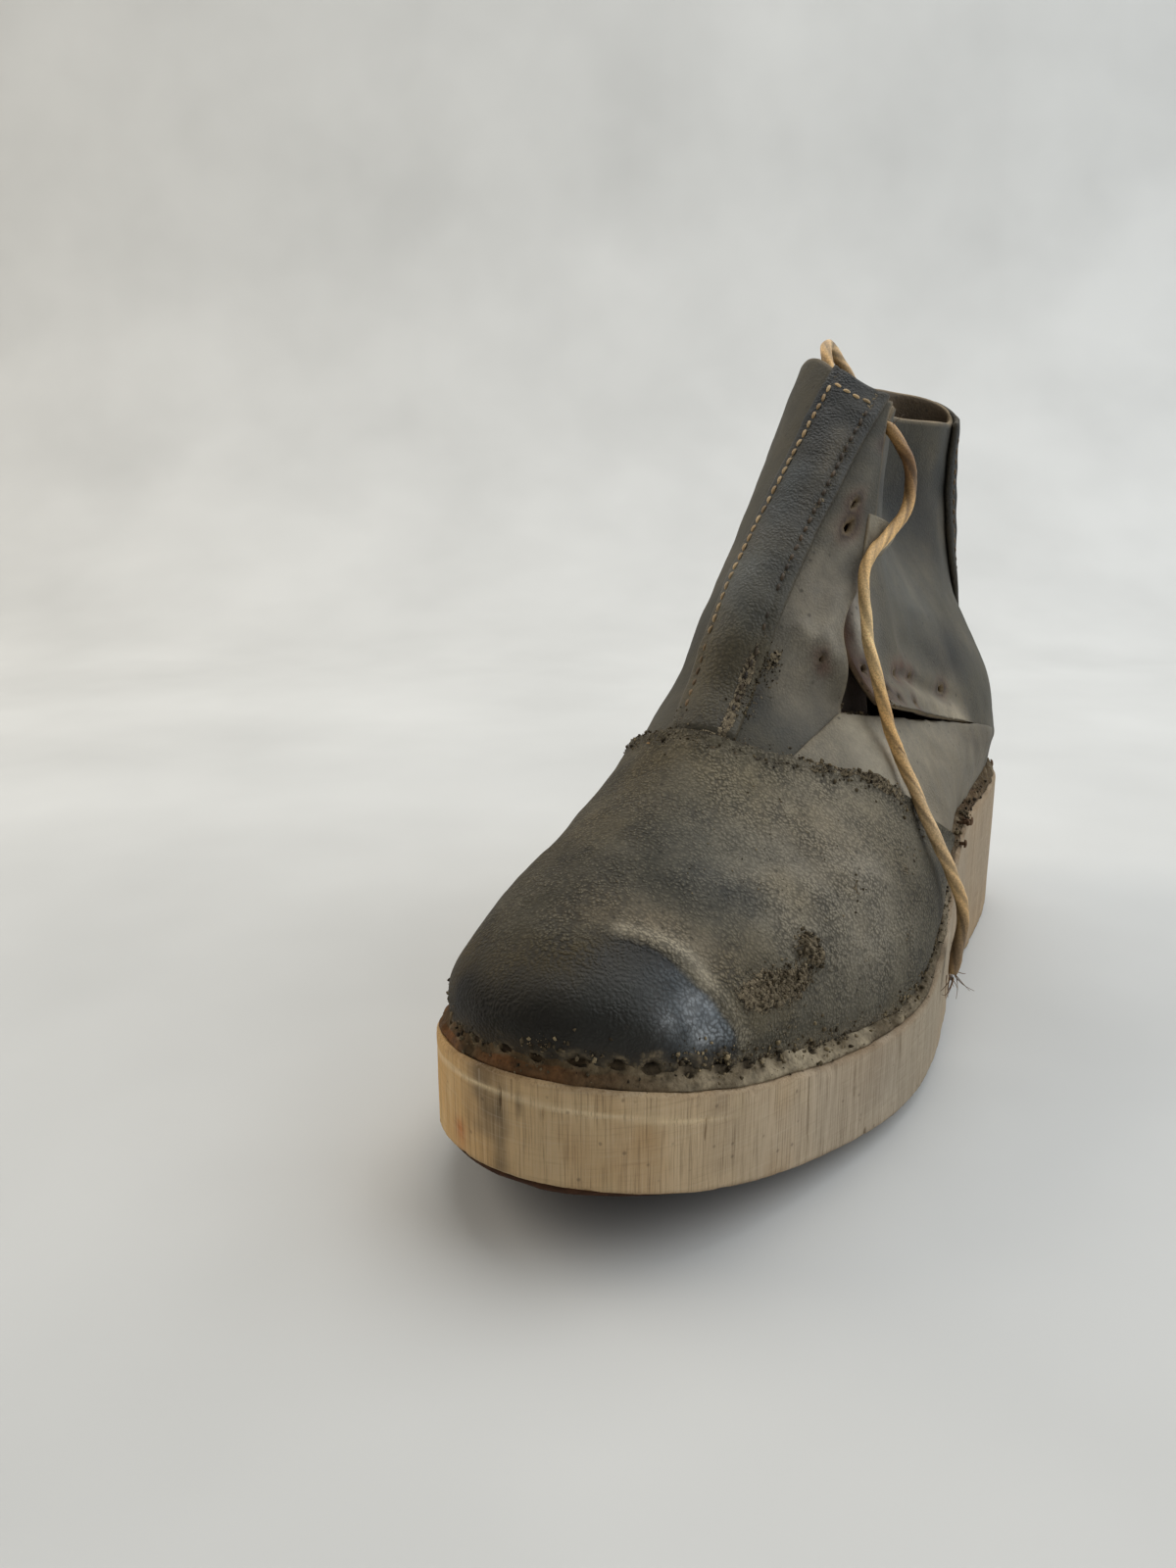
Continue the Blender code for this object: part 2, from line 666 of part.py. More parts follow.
def overlay_strip(name, centre_u, width, v_low, v_high, thick, lift, finish, tag="body"):
    """Strip sewn on the upper, centred on a seam. Its rows are the upper's own rows."""
    rows = upper_grid()[1]
    vs = np.concatenate([[v_low], rows[(rows > v_low + 0.01) & (rows < v_high - 0.01)], [v_high]])
    shares = np.linspace(-0.5, 0.5, 7)
    us = np.array([[u_beside(centre_u, v, width * share) if share else centre_u for share in shares]
                   for v in vs])

    def outer(u, v):
        return upper_point(u, v, lift + thick, tag)

    def inner(u, v):
        return upper_point(u, v, lift, tag)

    return grid_patch(name, us, vs, outer, inner, finish)


def make_front_strip(finish):
    seam_v = 0.475
    return overlay_strip("front_strip", FRONT_U, STRIP_WIDTH, seam_v, 1.0, STRIP_THICK, 0.7,
                         finish, "front")


def make_back_stay(finish):
    return overlay_strip("back_stay", 0.0, STAY_WIDTH, 0.17, 1.0, STRIP_THICK, 0.8, finish)


# The cord's route in (x, s, z): it starts inside the collar, stands up in a loop behind the
# strip, leaves by the laced opening and hangs down the outer side past the wood.
LACE_ROUTE = [
    (-3.1, 118.5, 175.3), (-3.7, 119, 180.2), (-5, 117.6, 184.6), (-6.4, 115.8, 187.9),
    (-8, 113.8, 191.1), (-9.2, 111, 193.3), (-9.9, 107, 194.6), (-10.1, 101.5, 193.5),
    (-9.9, 97, 191.5), (-9.2, 92.5, 188.9), (-8.4, 89, 186.2), (-7.3, 87, 183.1),
    (-5.7, 87.5, 178.6), (-1.4, 93, 172.4), (0.6, 101, 168.2), (4, 110, 166.2), (7, 117.6, 167.4),
    (9.6, 121.6, 169.4), (13, 123.2, 170.7), (16, 125.2, 169.2), (18.7, 126.2, 165.8),
    (20.8, 125.7, 162.3), (21.9, 125, 156.4), (22.3, 126.8, 150.4), (21.2, 132.5, 144.9),
    (19.4, 142, 140), (18.8, 151.5, 135.8), (19, 155.5, 131), (20.8, 158.3, 123.9),
    (22.5, 160.5, 116.4), (25.9, 162.6, 107.4), (28.7, 163, 98.5), (30.9, 162.4, 91.6),
    (33.2, 162.4, 86.4), (37.8, 164, 78.9), (42.6, 166.5, 71), (47.1, 166, 62.5),
    (49.9, 162.5, 54.3), (52, 160.5, 47.6), (52.8, 160, 42.6), (52.2, 160, 35.5), (51.9, 161.5, 30),
    (51.7, 163, 27.2),
]


def tube(name, points, diameter, finish, sides=2):
    """Round cord or wire through route points in (x, s, z) mm, read from one smooth curve."""
    points = np.array(points, float)
    run = np.concatenate([[0], np.cumsum(np.linalg.norm(np.diff(points, axis=0), axis=1))])
    route = Spline(run, points)
    count = min(80, max(6, int(run[-1] / (2.0 * diameter))))
    fine = world(route(np.linspace(0, run[-1], count)))
    curve = bpy.data.curves.new(name, "CURVE")
    curve.dimensions = "3D"
    curve.bevel_depth = diameter / 2 * MM
    curve.bevel_resolution = sides
    curve.use_fill_caps = True
    line = curve.splines.new("POLY")
    line.points.add(count - 1)
    for spot, place in zip(line.points, fine):
        spot.co = (*place, 1)
    curve.materials.append(finish)
    placed = bpy.data.objects.new(name, curve)
    bpy.context.scene.collection.objects.link(placed)
    return placed


def main():
    for old in list(bpy.data.objects):
        bpy.data.objects.remove(old)
    wood = material("bare_wood", (0.48, 0.34, 0.19), 0.7)
    tread = material("tread_leather", (0.10, 0.055, 0.035), 0.8)
    inside = material("insole_leather", (0.13, 0.09, 0.06), 0.8)
    ragged = material("rand_leather", (0.13, 0.075, 0.05), 0.8)
    grained = material("upper_leather", (0.085, 0.078, 0.066), 0.6)
    strip = material("strip_leather", (0.045, 0.052, 0.060), 0.5)
    stay = material("stay_leather", (0.045, 0.052, 0.060), 0.6)
    cord = material("waxed_cord", (0.52, 0.35, 0.17), 0.6)
    make_wood_sole(wood)
    make_tread(tread)
    make_insole(inside)
    make_rand(ragged)
    make_upper(grained)
    make_front_strip(strip)
    make_back_stay(stay)
    tube("lace", LACE_ROUTE, LACE_DIAMETER, cord)


main()
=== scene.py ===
import math
from collections import namedtuple

import bmesh
import bpy
import numpy as np
from mathutils import Matrix
from mathutils.kdtree import KDTree


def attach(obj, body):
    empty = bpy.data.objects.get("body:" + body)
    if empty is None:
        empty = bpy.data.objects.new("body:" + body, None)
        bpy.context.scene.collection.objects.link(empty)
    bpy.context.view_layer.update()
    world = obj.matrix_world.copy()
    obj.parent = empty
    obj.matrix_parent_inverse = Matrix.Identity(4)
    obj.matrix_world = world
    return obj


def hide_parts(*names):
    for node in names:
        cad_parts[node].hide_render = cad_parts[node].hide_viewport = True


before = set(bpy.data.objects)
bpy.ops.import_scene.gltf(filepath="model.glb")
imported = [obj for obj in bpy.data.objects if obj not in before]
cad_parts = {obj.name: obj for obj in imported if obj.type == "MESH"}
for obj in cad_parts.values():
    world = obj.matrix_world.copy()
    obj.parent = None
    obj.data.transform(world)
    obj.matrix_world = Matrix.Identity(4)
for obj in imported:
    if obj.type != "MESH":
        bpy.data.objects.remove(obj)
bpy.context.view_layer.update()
body = "root"
mm = 0.001

# All shapes are worked out in millimetres as (x, s, z): x to the outer side, s from the heel towards
# the toe, z up. toWorld turns them into the frame's metres.
middleX = -2.15
middleS = 144.8


def points3(x, s, z):
    return np.stack(np.broadcast_arrays(x, s, z), axis=-1)


# Points over an outline that is given as (s, x)
def raised(outline, z):
    return points3(outline[:, 1], outline[:, 0], z)


def toWorld(points):
    x, s, z = np.moveaxis(np.asarray(points, float), -1, 0)
    return np.stack([x - middleX, middleS - s, z], axis=-1) * mm


def addObject(name, data):
    placed = bpy.data.objects.new(name, data)
    bpy.context.scene.collection.objects.link(placed)
    return placed


# Matrix of a camera or light at a place, from its right, up and back directions
def standing(right, up, back, place):
    return Matrix([*zip(right, up, back, place), (0, 0, 0, 1)])


# The camera's place in metres, its right, up and back directions, and its lens in mm.
view = {"place": (0.112080866, -0.321189261, 0.162623178),
        "right": (0.87132944, 0.49066016, -0.00613239),
        "up": (-0.12616032, 0.23608155, 0.96350873),
        "back": (0.47420309, -0.83875986, 0.26760665),
        "lens": 26.92}


def makeCamera():
    data = bpy.data.cameras.new("camera")
    data.lens = view["lens"]
    data.sensor_width = 36.0
    data.clip_start = 0.01
    placed = addObject("camera", data)
    placed.matrix_world = standing(view["right"], view["up"], view["back"], view["place"])
    bpy.context.scene.camera = placed


makeCamera()
print("camera placed")


# Cubic curve through rows of values; closed when a period is given
def bentCurve(places, values, period=None):
    x = np.asarray(places, float)
    y = np.asarray(values, float)
    if period:
        x = np.append(x, x[0] + period)
        y = np.concatenate([y, y[:1]])
    n = len(x)
    left = np.zeros((n, n))
    right = np.zeros((n, n))
    h = np.diff(x)
    for i in range(1, n - 1):
        left[i, i - 1:i + 2] = h[i - 1], 2 * (h[i - 1] + h[i]), h[i]
        right[i, i - 1:i + 2] = 6 / h[i - 1], -6 / h[i - 1] - 6 / h[i], 6 / h[i]
    if period:
        left[0, [0, 1, n - 2]] = 2 * (h[-1] + h[0]), h[0], h[-1]
        right[0, [0, 1, n - 2]] = -6 / h[-1] - 6 / h[0], 6 / h[0], 6 / h[-1]
        left[-1, [0, n - 1]] = -1, 1
    else:
        left[0, 0] = left[-1, -1] = 1
    bend = (np.linalg.solve(left, right) @ y.reshape(n, -1)).reshape(y.shape)

    def at(where):
        where = np.asarray(where, float)
        if period:
            where = x[0] + np.mod(where - x[0], period)
        k = np.clip(np.searchsorted(x, where, side="right") - 1, 0, n - 2)
        step = x[k + 1] - x[k]
        b = (where - x[k]) / step
        a = 1 - b
        fit = (y.ndim - 1) * (None,)
        a, b, step = (np.asarray(w)[(...,) + fit] for w in (a, b, step))
        curve = ((a ** 3 - a) * bend[k] + (b ** 3 - b) * bend[k + 1]) * step ** 2 / 6
        return a * y[k] + b * y[k + 1] + curve

    return at


# Curve through rows of values that never swings past them between two rows
def steadyCurve(places, values):
    x = np.asarray(places, float)
    y = np.asarray(values, float)
    slope = np.diff(y, axis=0) / np.diff(x)[:, None]
    before, after = slope[:-1], slope[1:]
    sameWay = before * after > 0
    both = np.where(sameWay, before + after, 1.0)
    inner = np.where(sameWay, 2 * before * after / both, 0.0)
    slope = np.concatenate([slope[:1], inner, slope[-1:]])

    def at(where):
        where = np.asarray(where, float)
        k = np.clip(np.searchsorted(x, where, side="right") - 1, 0, len(x) - 2)
        h = (x[k + 1] - x[k])[..., None]
        t = (where[..., None] - x[k][..., None]) / h
        ends = y[k] * (1 + 2 * t) * (1 - t) ** 2 + y[k + 1] * t * t * (3 - 2 * t)
        return ends + h * (slope[k] * t * (1 - t) ** 2 - slope[k + 1] * t * t * (1 - t))

    return at


def unit(way):
    return way / np.linalg.norm(way, axis=-1, keepdims=True)


def smooth(x, low, high):
    t = np.clip((x - low) / (high - low), 0, 1)
    return t * t * (3 - 2 * t)


def hump(x, centre, width):
    return np.exp(-((x - centre) / width) ** 2)


# Smooth random field from -1 to 1 whose bumps are about size mm across
def lumps(points, size, seed=0):
    place = np.asarray(points, float) / size + seed * 17.31
    cell = np.floor(place).astype(np.int64)
    t = place - cell
    t = t * t * (3 - 2 * t)
    total = np.zeros(place.shape[:-1])
    for corner in range(8):
        shift = np.array([corner & 1, corner >> 1 & 1, corner >> 2])
        mixed = (cell + shift) * np.array([374761393, 668265263, 1274126177])
        mixed = mixed.sum(axis=-1) + seed * 974711
        mixed = (mixed ^ (mixed >> 13)) * 1103515245
        mixed = mixed ^ (mixed >> 16)
        share = np.where(shift == 1, t, 1 - t).prod(axis=-1)
        total += ((mixed & 0xFFFF) / 32767.5 - 1) * share
    return total


# Several sizes of lumps added together
def rough(points, size, seed=0, turns=3):
    return sum(lumps(points, size / 2 ** k, seed + k) / 2 ** k for k in range(turns)) / 1.5


# Distance along a line of points, from 0 at its first
def runLength(line):
    return np.concatenate([[0], np.cumsum(np.linalg.norm(np.diff(line, axis=0), axis=1))])


# A line's points at the given distances along it
def alongLine(where, run, line):
    return np.stack([np.interp(where, run, line[:, k]) for k in range(3)], axis=-1)


# Shortest distance from each point to a line of points, and how far along it that is, 0 to 1
def lineDistance(points, line):
    points = np.asarray(points, float)
    line = np.asarray(line, float)
    if len(line) == 1:
        return np.linalg.norm(points - line[0], axis=-1), np.full(points.shape[:-1], 0.5)
    best = np.full(points.shape[:-1], 1e9)
    along = np.zeros(points.shape[:-1])
    run = runLength(line)
    for a, b, low, high in zip(line[:-1], line[1:], run[:-1], run[1:]):
        way = b - a
        t = np.clip((points - a) @ way / max(way @ way, 1e-9), 0, 1)
        far = np.linalg.norm(points - a - t[..., None] * way, axis=-1)
        closer = far < best
        best = np.where(closer, far, best)
        along = np.where(closer, (low + t * (high - low)) / run[-1], along)
    return best, along


# The boot's shape: the wood's outline, and the upper as a surface over u (0 at the back, round the
# outer side, near 0.49 at the front, on round the inner side) and v (0 at the wood, 1 at the collar).
boot = {"length": 290.0, "heelWidth": 75.8, "floorToSeat": 50.6, "forepartThick": 23.6,
        "treadThick": 3.0, "toeSpring": 16.4, "archLift": 3.5, "cornerPeak": 3.5, "cornerU": 0.565,
        "ledge": 5.5, "wall": 2.2, "gap": 0.3, "slitU": 0.408, "slitDrift": 0.050,
        "crackU": 0.170, "crackV": 0.50, "mmPerV": 160, "tan": (74, 70, 58)}

sectionRow = namedtuple(
    "sectionRow",
    "name level backS backZ backX frontS frontZ frontX "
    "heelL waistL ballL toeL tip toeM ballM waistM heelM follow roll")
soleRow = sectionRow("sole", 0, 0, 0, 0, boot["length"], 0, -8.2,
                     boot["heelWidth"] / 2, 41.5, 50.1, 37.6, 27.7, -49.7, -53.8, -31.3,
                     -boot["heelWidth"] / 2, 1, 0)
sections = [sectionRow(*row) for row in [
    ("lowWall", 0.08, 3.6, 52.6, 0, 286.0, 53.0, -8.2,
     34.0, 37.0, 46.0, 33.0, 24.5, -45.5, -49.0, -27.0, -34.0, 1.0, 0),
    ("toeBox", 0.17, 3.0, 54.8, 0.5, 279.0, 60.5, -8.4,
     34.5, 37.0, 46.0, 33.0, 24.0, -41.0, -46.5, -27.0, -34.5, 0.9, 0),
    ("toeTop", 0.27, 2.6, 57.0, 1.0, 257.0, 70.5, -8.6,
     34.5, 36.0, 43.0, 33.0, 22.0, -33.5, -39.0, -28.0, -34.5, 0.7, 0),
    ("vamp", 0.38, 2.4, 59.0, 1.5, 226.0, 81.5, -8.5,
     34.5, 34.0, 36.0, 30.5, 18.5, -34.0, -34.0, -28.0, -34.5, 0.4, 0),
    ("quarter", 0.50, 2.4, 61.5, 2.0, 195.0, 103.0, -8.0,
     34.0, 31.0, 26.5, 22.0, 14.0, -32.0, -30.0, -27.0, -34.0, 0.0, 0),
    ("instep", 0.62, 5.5, 86.0, 3.5, 183.5, 122.0, -5.0,
     28.0, 25.0, 21.0, 20.0, 12.0, -27.0, -27.0, -26.0, -28.0, 0, 0),
    ("ankle", 0.75, 14.0, 116.0, 6.0, 165.0, 142.0, -2.0,
     15.0, 14.0, 14.0, 17.0, 11.5, -23.0, -27.0, -26.0, -20.0, 0, 1.0),
    ("shaft", 0.88, 19.5, 148.0, 7.0, 145.5, 162.0, 0.8,
     9.5, 5.0, 9.0, 14.0, 11.0, -19.5, -26.0, -26.0, -16.0, 0, 3.0),
    ("collar", 1.00, 22.0, 178.2, 6.5, 125.0, 181.5, 3.5,
     11.0, 6.0, 8.5, 13.0, 10.5, -16.0, -22.0, -22.0, -13.0, 0, 5.8),
]]
stations = np.array([0, 0.06, 0.16, 0.38, 0.644, 0.83, 0.95, 1, 0.955, 0.86, 0.70, 0.42, 0.16, 0.06])
# the vamp's edge as (z, s)
vampEdge = [(45.0, 104.0), (54.0, 126.0), (62.0, 145.0), (69.0, 158.0), (76.0, 167.0),
            (82.0, 174.0), (86.0, 186.0), (92.0, 198.0), (96.0, 203.0), (100.0, 225.0)]

# Soft forms pressed into the leather: side, place (s, z), depth along the normal, reach (s, z).
folds = [
    (1, 68, 154, -8.0, 25, 27),
    (1, 55, 84, 1.5, 30, 12),
    (1, 142, 120, -2.0, 12, 22),
    (1, 240, 66, -1.5, 18, 9),
    (-1, 120, 104, -2.5, 40, 6),
]


def ringPoints(row):
    s = row.backS + stations * (row.frontS - row.backS)
    nearL = row.backX + 0.8 * (row.heelL - row.backX)
    nearM = row.backX + 0.8 * (row.heelM - row.backX)
    x = [row.backX, nearL, row.heelL, row.waistL, row.ballL, row.toeL, row.frontX + row.tip,
         row.frontX, row.frontX - row.tip, row.toeM, row.ballM, row.waistM, row.heelM, nearM]
    return np.stack([s, x], axis=1)


def ringKnots():
    points = ringPoints(soleRow)
    steps = np.linalg.norm(np.roll(points, -1, axis=0) - points, axis=1)
    return np.concatenate([[0], np.cumsum(steps)[:-1]]) / steps.sum()


knots = ringKnots()
frontU = knots[7]
soleRing = bentCurve(knots, ringPoints(soleRow), 1.0)


def woodBottom(s):
    t = np.asarray(s, float) / boot["length"]
    forepart = (boot["treadThick"] + boot["gap"]) * smooth(t, 0.36, 0.44)
    arch = boot["archLift"] * smooth(t, 0.27, 0.33) * (1 - smooth(t, 0.36, 0.44))
    return forepart + arch + boot["toeSpring"] * np.clip((t - 0.62) / 0.38, 0, 1) ** 2


def woodTop(s):
    t = np.asarray(s, float) / boot["length"]
    fall = smooth(t, 0.30, 0.68)
    heel = boot["floorToSeat"] + 1.6 * smooth(t, 0.0, 0.40)
    spring = boot["toeSpring"] * np.clip((t - 0.62) / 0.38, 0, 1) ** 2
    low = boot["treadThick"] + boot["gap"] + boot["forepartThick"] + spring
    return heel * (1 - fall) + low * fall


# (s, x) of the wood's edge, moved inwards by inset
def soleOutline(u, inset=0.0):
    step = 1e-4
    along = unit(soleRing(u + step) - soleRing(u - step))
    inward = np.stack([along[..., 1], -along[..., 0]], axis=-1)
    return soleRing(u) + inward * np.reshape(inset, np.shape(inset) + (1,) * (np.ndim(inset) > 0))


def upperCurves():
    feather = soleOutline(knots, boot["ledge"])
    rings = [feather] + [ringPoints(row) for row in sections]
    first = sectionRow("feather", 0.0, feather[0, 0], woodTop(feather[0, 0]) + boot["gap"], 0,
                       feather[7, 0], woodTop(feather[7, 0]) + boot["gap"], *([0] * 12))
    rows = [first._replace(follow=1.0)] + sections
    levels = [row.level for row in rows]
    numbers = [(row.backS, row.backZ, row.frontS, row.frontZ, row.follow, row.roll) for row in rows]
    return bentCurve(levels, rings), steadyCurve(levels, numbers)


ringCurve, levelCurve = upperCurves()
knotShares = bentCurve(knots, np.eye(len(knots)), 1.0)
ringZero = bentCurve(knots, soleOutline(knots, boot["ledge"]), 1.0)


# +1 on the outer side, -1 on the inner side, eased through 0 at the back and front
def sideOf(u):
    half = np.where(u < frontU, u / frontU, 1 + (u - frontU) / (1 - frontU))
    return np.tanh(4.5 * np.sin(math.pi * half))


def basePoint(u, v):
    u = np.mod(np.asarray(u, float), 1.0)
    v = np.asarray(v, float)
    u, v = np.broadcast_arrays(u, v)
    plan = np.einsum("...i,...ij->...j", knotShares(u), ringCurve(v))
    fade = 1 - smooth(v, 0.0, 0.10)
    plan = plan + fade[..., None] * (soleOutline(u, boot["ledge"]) - ringZero(u))
    s, x = plan[..., 0], plan[..., 1]
    backS, backZ, frontS, frontZ, follow, roll = np.moveaxis(levelCurve(v), -1, 0)
    along = (s - backS) / (frontS - backS)
    level = backZ + along * (frontZ - backZ)
    edge = woodTop(backS) + along * (woodTop(frontS) - woodTop(backS))
    z = level + follow * (woodTop(s) - edge) - roll * sideOf(u)
    z = z + boot["cornerPeak"] * hump(u, boot["cornerU"], 0.04) * smooth(v, 0.80, 1.0)
    return np.stack([x, s, z], axis=-1)


def baseNormal(u, v):
    step = 1e-3
    low = np.maximum(v - step, 0)
    high = np.minimum(v + step, 1)
    du = basePoint(u + step, v) - basePoint(u - step, v)
    dv = basePoint(u, high) - basePoint(u, low)
    return unit(np.cross(du, dv))


def foldHeight(point, u):
    side = sideOf(u)
    total = np.zeros(point.shape[:-1])
    for where, s, z, depth, reachS, reachZ in folds:
        share = smooth(side * where, 0.0, 0.8)
        total += share * depth * hump(point[..., 1], s, reachS) * hump(point[..., 2], z, reachZ)
    return total


def slitU(v):
    return boot["slitU"] + boot["slitDrift"] * smooth(v, 0.76, 1.02) + 0.010 * hump(v, 0.635, 0.07)


def slitGap(v):
    return 6.0 * smooth(v, 0.605, 0.51) + 0.9 + 9.9 * smooth(v, 0.84, 0.93)


def girth(v):
    return 700 - 440 * smooth(v, 0.05, 0.85)


def liftFront(u, v):
    away = (u - slitU(v)) * girth(v)
    near = np.where(away >= -1e-6, np.exp(-np.abs(away) / 11), 0)
    return 2.0 * near * smooth(v, boot["crackV"], boot["crackV"] + 0.10)


def liftRear(u, v):
    away = np.maximum((slitU(v) - u) * girth(v), 0)
    up = (v - boot["crackV"]) * boot["mmPerV"]
    sunk = -3.0 * np.exp(-away / 16) * smooth(v, 0.62, 0.74)
    openCorner = smooth(u, boot["crackU"], boot["slitU"])
    curl = 7.0 * openCorner * np.exp(-up / 7)
    curl = curl + 0.9 * np.exp(-up / 5) * smooth(u, boot["crackU"], boot["crackU"] + 0.02)
    return sunk + curl + 1.6 * np.exp(-away / 5) * hump(up, 5, 6)


# Creases and ridges in the leather: width, height (minus sinks in) and the line they follow.
creases = [
    (1.9, 0.75, [(1, 264, 67), (5.4, 262, 65.3), (9, 260, 63.5), (14.6, 258.4, 61), (19.6, 258.6, 56.6),
                 (23.6, 257.4, 51.6), (26.4, 255.2, 45)]),
    (6.0, -1.1, [(12, 268, 60), (18, 266, 55), (21, 264, 50), (24, 262, 44)]),
    (4.0, -0.7, [(22, 252, 57), (29, 243, 53), (35, 228, 50)]),
    (3.0, 0.9, [(13, 131, 165), (11, 146, 150), (8, 165, 134), (5, 175, 125)]),
    (3.4, -1.0, [(14, 142, 150), (12, 157, 138), (9, 168, 126)]),
    (2.8, 1.2, [(7, 174, 122), (10, 172, 115)]),
    (3.0, 1.3, [(10, 172, 119), (13.6, 167, 115), (17, 164, 106), (20.5, 164, 97)]),
    (3.2, -1.2, [(12, 170, 110), (15, 168, 103), (17, 170, 98)]),
    (5.0, -1.0, [(30, 168, 82), (36, 150, 70), (42, 130, 62)]),
    (4.0, 0.7, [(34, 205, 66), (40, 190, 60), (45, 170, 53)]),
    (6.0, -0.9, [(8, 235, 77), (20, 222, 71), (31, 206, 66)]),
    (5.0, 0.6, [(2, 244, 73), (16, 236, 69), (27, 224, 63)]),
    (5.0, -1.3, [(26, 88, 103), (24, 110, 108), (22, 128, 112)]),
    (4.0, 0.8, [(23, 74, 112), (20, 96, 118), (17, 118, 122)]),
    (4.5, -1.3, [(-26, 150, 108), (-27, 120, 102), (-28, 90, 97)]),
    (4.0, 1.0, [(-25, 160, 116), (-27, 130, 112), (-27, 100, 108)]),
    (4.0, -0.9, [(-24, 165, 126), (-27, 140, 121), (-27, 110, 118)]),
    (6.0, -0.8, [(-20, 240, 72), (-32, 222, 66), (-42, 205, 56)]),
    (5.0, -0.9, [(-30, 178, 90), (-38, 165, 76), (-44, 150, 62)]),
    (4.0, -0.8, [(8, 12, 112), (2, 8, 108), (-6, 10, 110)]),
    (2.4, -1.5, [(22, 148, 104), (23, 126, 101), (24, 106, 94), (31, 70, 84)]),
    (3.0, 0.9, [(22, 150, 100), (24, 126, 96), (26, 106, 89), (32, 72, 80)]),
    (2.2, -0.9, [(15, 157, 127), (15, 162, 119), (14, 168, 112)]),
    (2.6, 0.8, [(12, 160, 130), (12, 167, 119), (11, 174, 108)]),
    (3.0, -1.0, [(18, 178, 96), (14, 180, 104), (10, 181, 110)]),
]


def fineRelief(point):
    total = 0.42 * lumps(point, 17, 3) + 0.20 * lumps(point, 7, 5) + 0.07 * lumps(point, 3, 8)
    for width, height, line in creases:
        away, along = lineDistance(point, line)
        ends = smooth(along, -0.05, 0.25) * (1 - smooth(along, 0.75, 1.05)) if len(line) > 1 else 1
        total = total + height * hump(away, 0, width) * ends
    return total


# Point of the finished upper; offset is measured out of the leather
def upperPoint(u, v, offset=0.0, part="body"):
    point = basePoint(u, v)
    height = foldHeight(point, u) + fineRelief(point) + offset
    if part == "front":
        height = height + liftFront(u, v)
    if part == "rear":
        height = height + liftRear(u, v)
    return point + baseNormal(u, v) * height[..., None]


# Millimetres inside the vamp: positive in front of its edge
def vampKeep(u, v):
    point = basePoint(u, v)
    heights, reach = zip(*vampEdge)
    return point[..., 1] - np.interp(point[..., 2], heights, reach)


# Places at the given distances round the upper from centreU, one row for each level
def uBeside(centreU, vs, distances):
    steps = np.linspace(-0.12, 0.12, 161)
    vs = np.asarray(vs, float)
    points = basePoint(centreU + steps[None, :], vs[:, None])
    run = np.cumsum(np.linalg.norm(np.diff(points, axis=1), axis=2), axis=1)
    run = np.concatenate([np.zeros((len(vs), 1)), run], axis=1)
    run -= run[:, 80:81]
    return np.array([centreU + np.interp(distances, row, steps) for row in run])


# A form is a closed body: its points in mm, its faces, and for each point a colour (tint) and a
# finish (gloss, dust, mud). Several forms can make one piece.
form = namedtuple("form", "points faces tint finish")


def linear(colour):
    c = np.asarray(colour, float) / 255
    return np.where(c <= 0.04045, c / 12.92, ((c + 0.055) / 1.055) ** 2.4)


# The tint with a colour laid over it by each point's share
def overlay(tint, share, colour):
    share = share[..., None]
    return tint * (1 - share) + linear(colour) * share


# Rows of strokes: reach in mm, strength, colour, and a point or a line of points.
def paint(points, base, strokes=(), seed=0, broken=0.55):
    tint = np.broadcast_to(linear(base), points.shape[:-1] + (3,)).copy()
    for k, (reach, strength, colour, line) in enumerate(strokes):
        away, _ = lineDistance(points, line if isinstance(line, list) else [line])
        patchy = 1 + broken * rough(points, max(reach, 3), seed + 11 * k, 3)
        tint = overlay(tint, np.clip(strength * hump(away, 0, reach) * patchy * 1.1, 0, 1), colour)
    return tint


def finishOf(points, gloss=0.0, dust=0.5, mud=0.0):
    shape = points.shape[:-1]
    return np.stack([np.broadcast_to(np.asarray(k, float), shape) for k in (gloss, dust, mud)], axis=-1)


# Closed body over rings of point numbers, with rounded edges all round its border.
def thickForm(cells, outer, inner, tint, finish, bulge=0.32, lining=None, cutEdge=None, mix=0.6):
    count = len(outer)
    faces = [list(ring) for ring in cells] + [[i + count for i in reversed(ring)] for ring in cells]
    edges = dict.fromkeys((a, b) for ring in cells for a, b in zip(ring, ring[1:] + ring[:1]))
    border = [(a, b) for a, b in edges if (b, a) not in edges]
    after = {}
    before = {}
    for a, b in border:
        after.setdefault(a, b)
        before.setdefault(b, a)
    rim = sorted({i for edge in border for i in edge})
    place = {i: 2 * count + k for k, i in enumerate(rim)}
    along = outer[[after.get(i, i) for i in rim]] - outer[[before.get(i, i) for i in rim]]
    thick = outer[rim] - inner[rim]
    outward = np.cross(along, thick)
    size = np.linalg.norm(outward, axis=1, keepdims=True)
    outward = outward / np.where(size > 1e-9, size, 1)
    wide = np.linalg.norm(thick, axis=1, keepdims=True)
    middle = (outer[rim] + inner[rim]) / 2 + outward * wide * bulge
    edgeTint = tint[rim]
    if cutEdge is not None:
        edgeTint = overlay(edgeTint, np.clip(mix * (1 + 0.7 * rough(middle, 9, 13)), 0, 1), cutEdge)
        tint = tint.copy()
        tint[rim] = tint[rim] * 0.6 + edgeTint * 0.4
    back = tint
    if lining is not None:
        back = paint(inner, lining) * (1 + 0.25 * rough(inner, 14, 15))[:, None]
    for a, b in border:
        faces.append([b, a, place[a], place[b]])
        faces.append([place[b], place[a], a + count, b + count])
    return form(np.concatenate([outer, inner, middle]), faces, np.concatenate([tint, back, edgeTint]),
                np.concatenate([finish, finish, finish[rim]]))


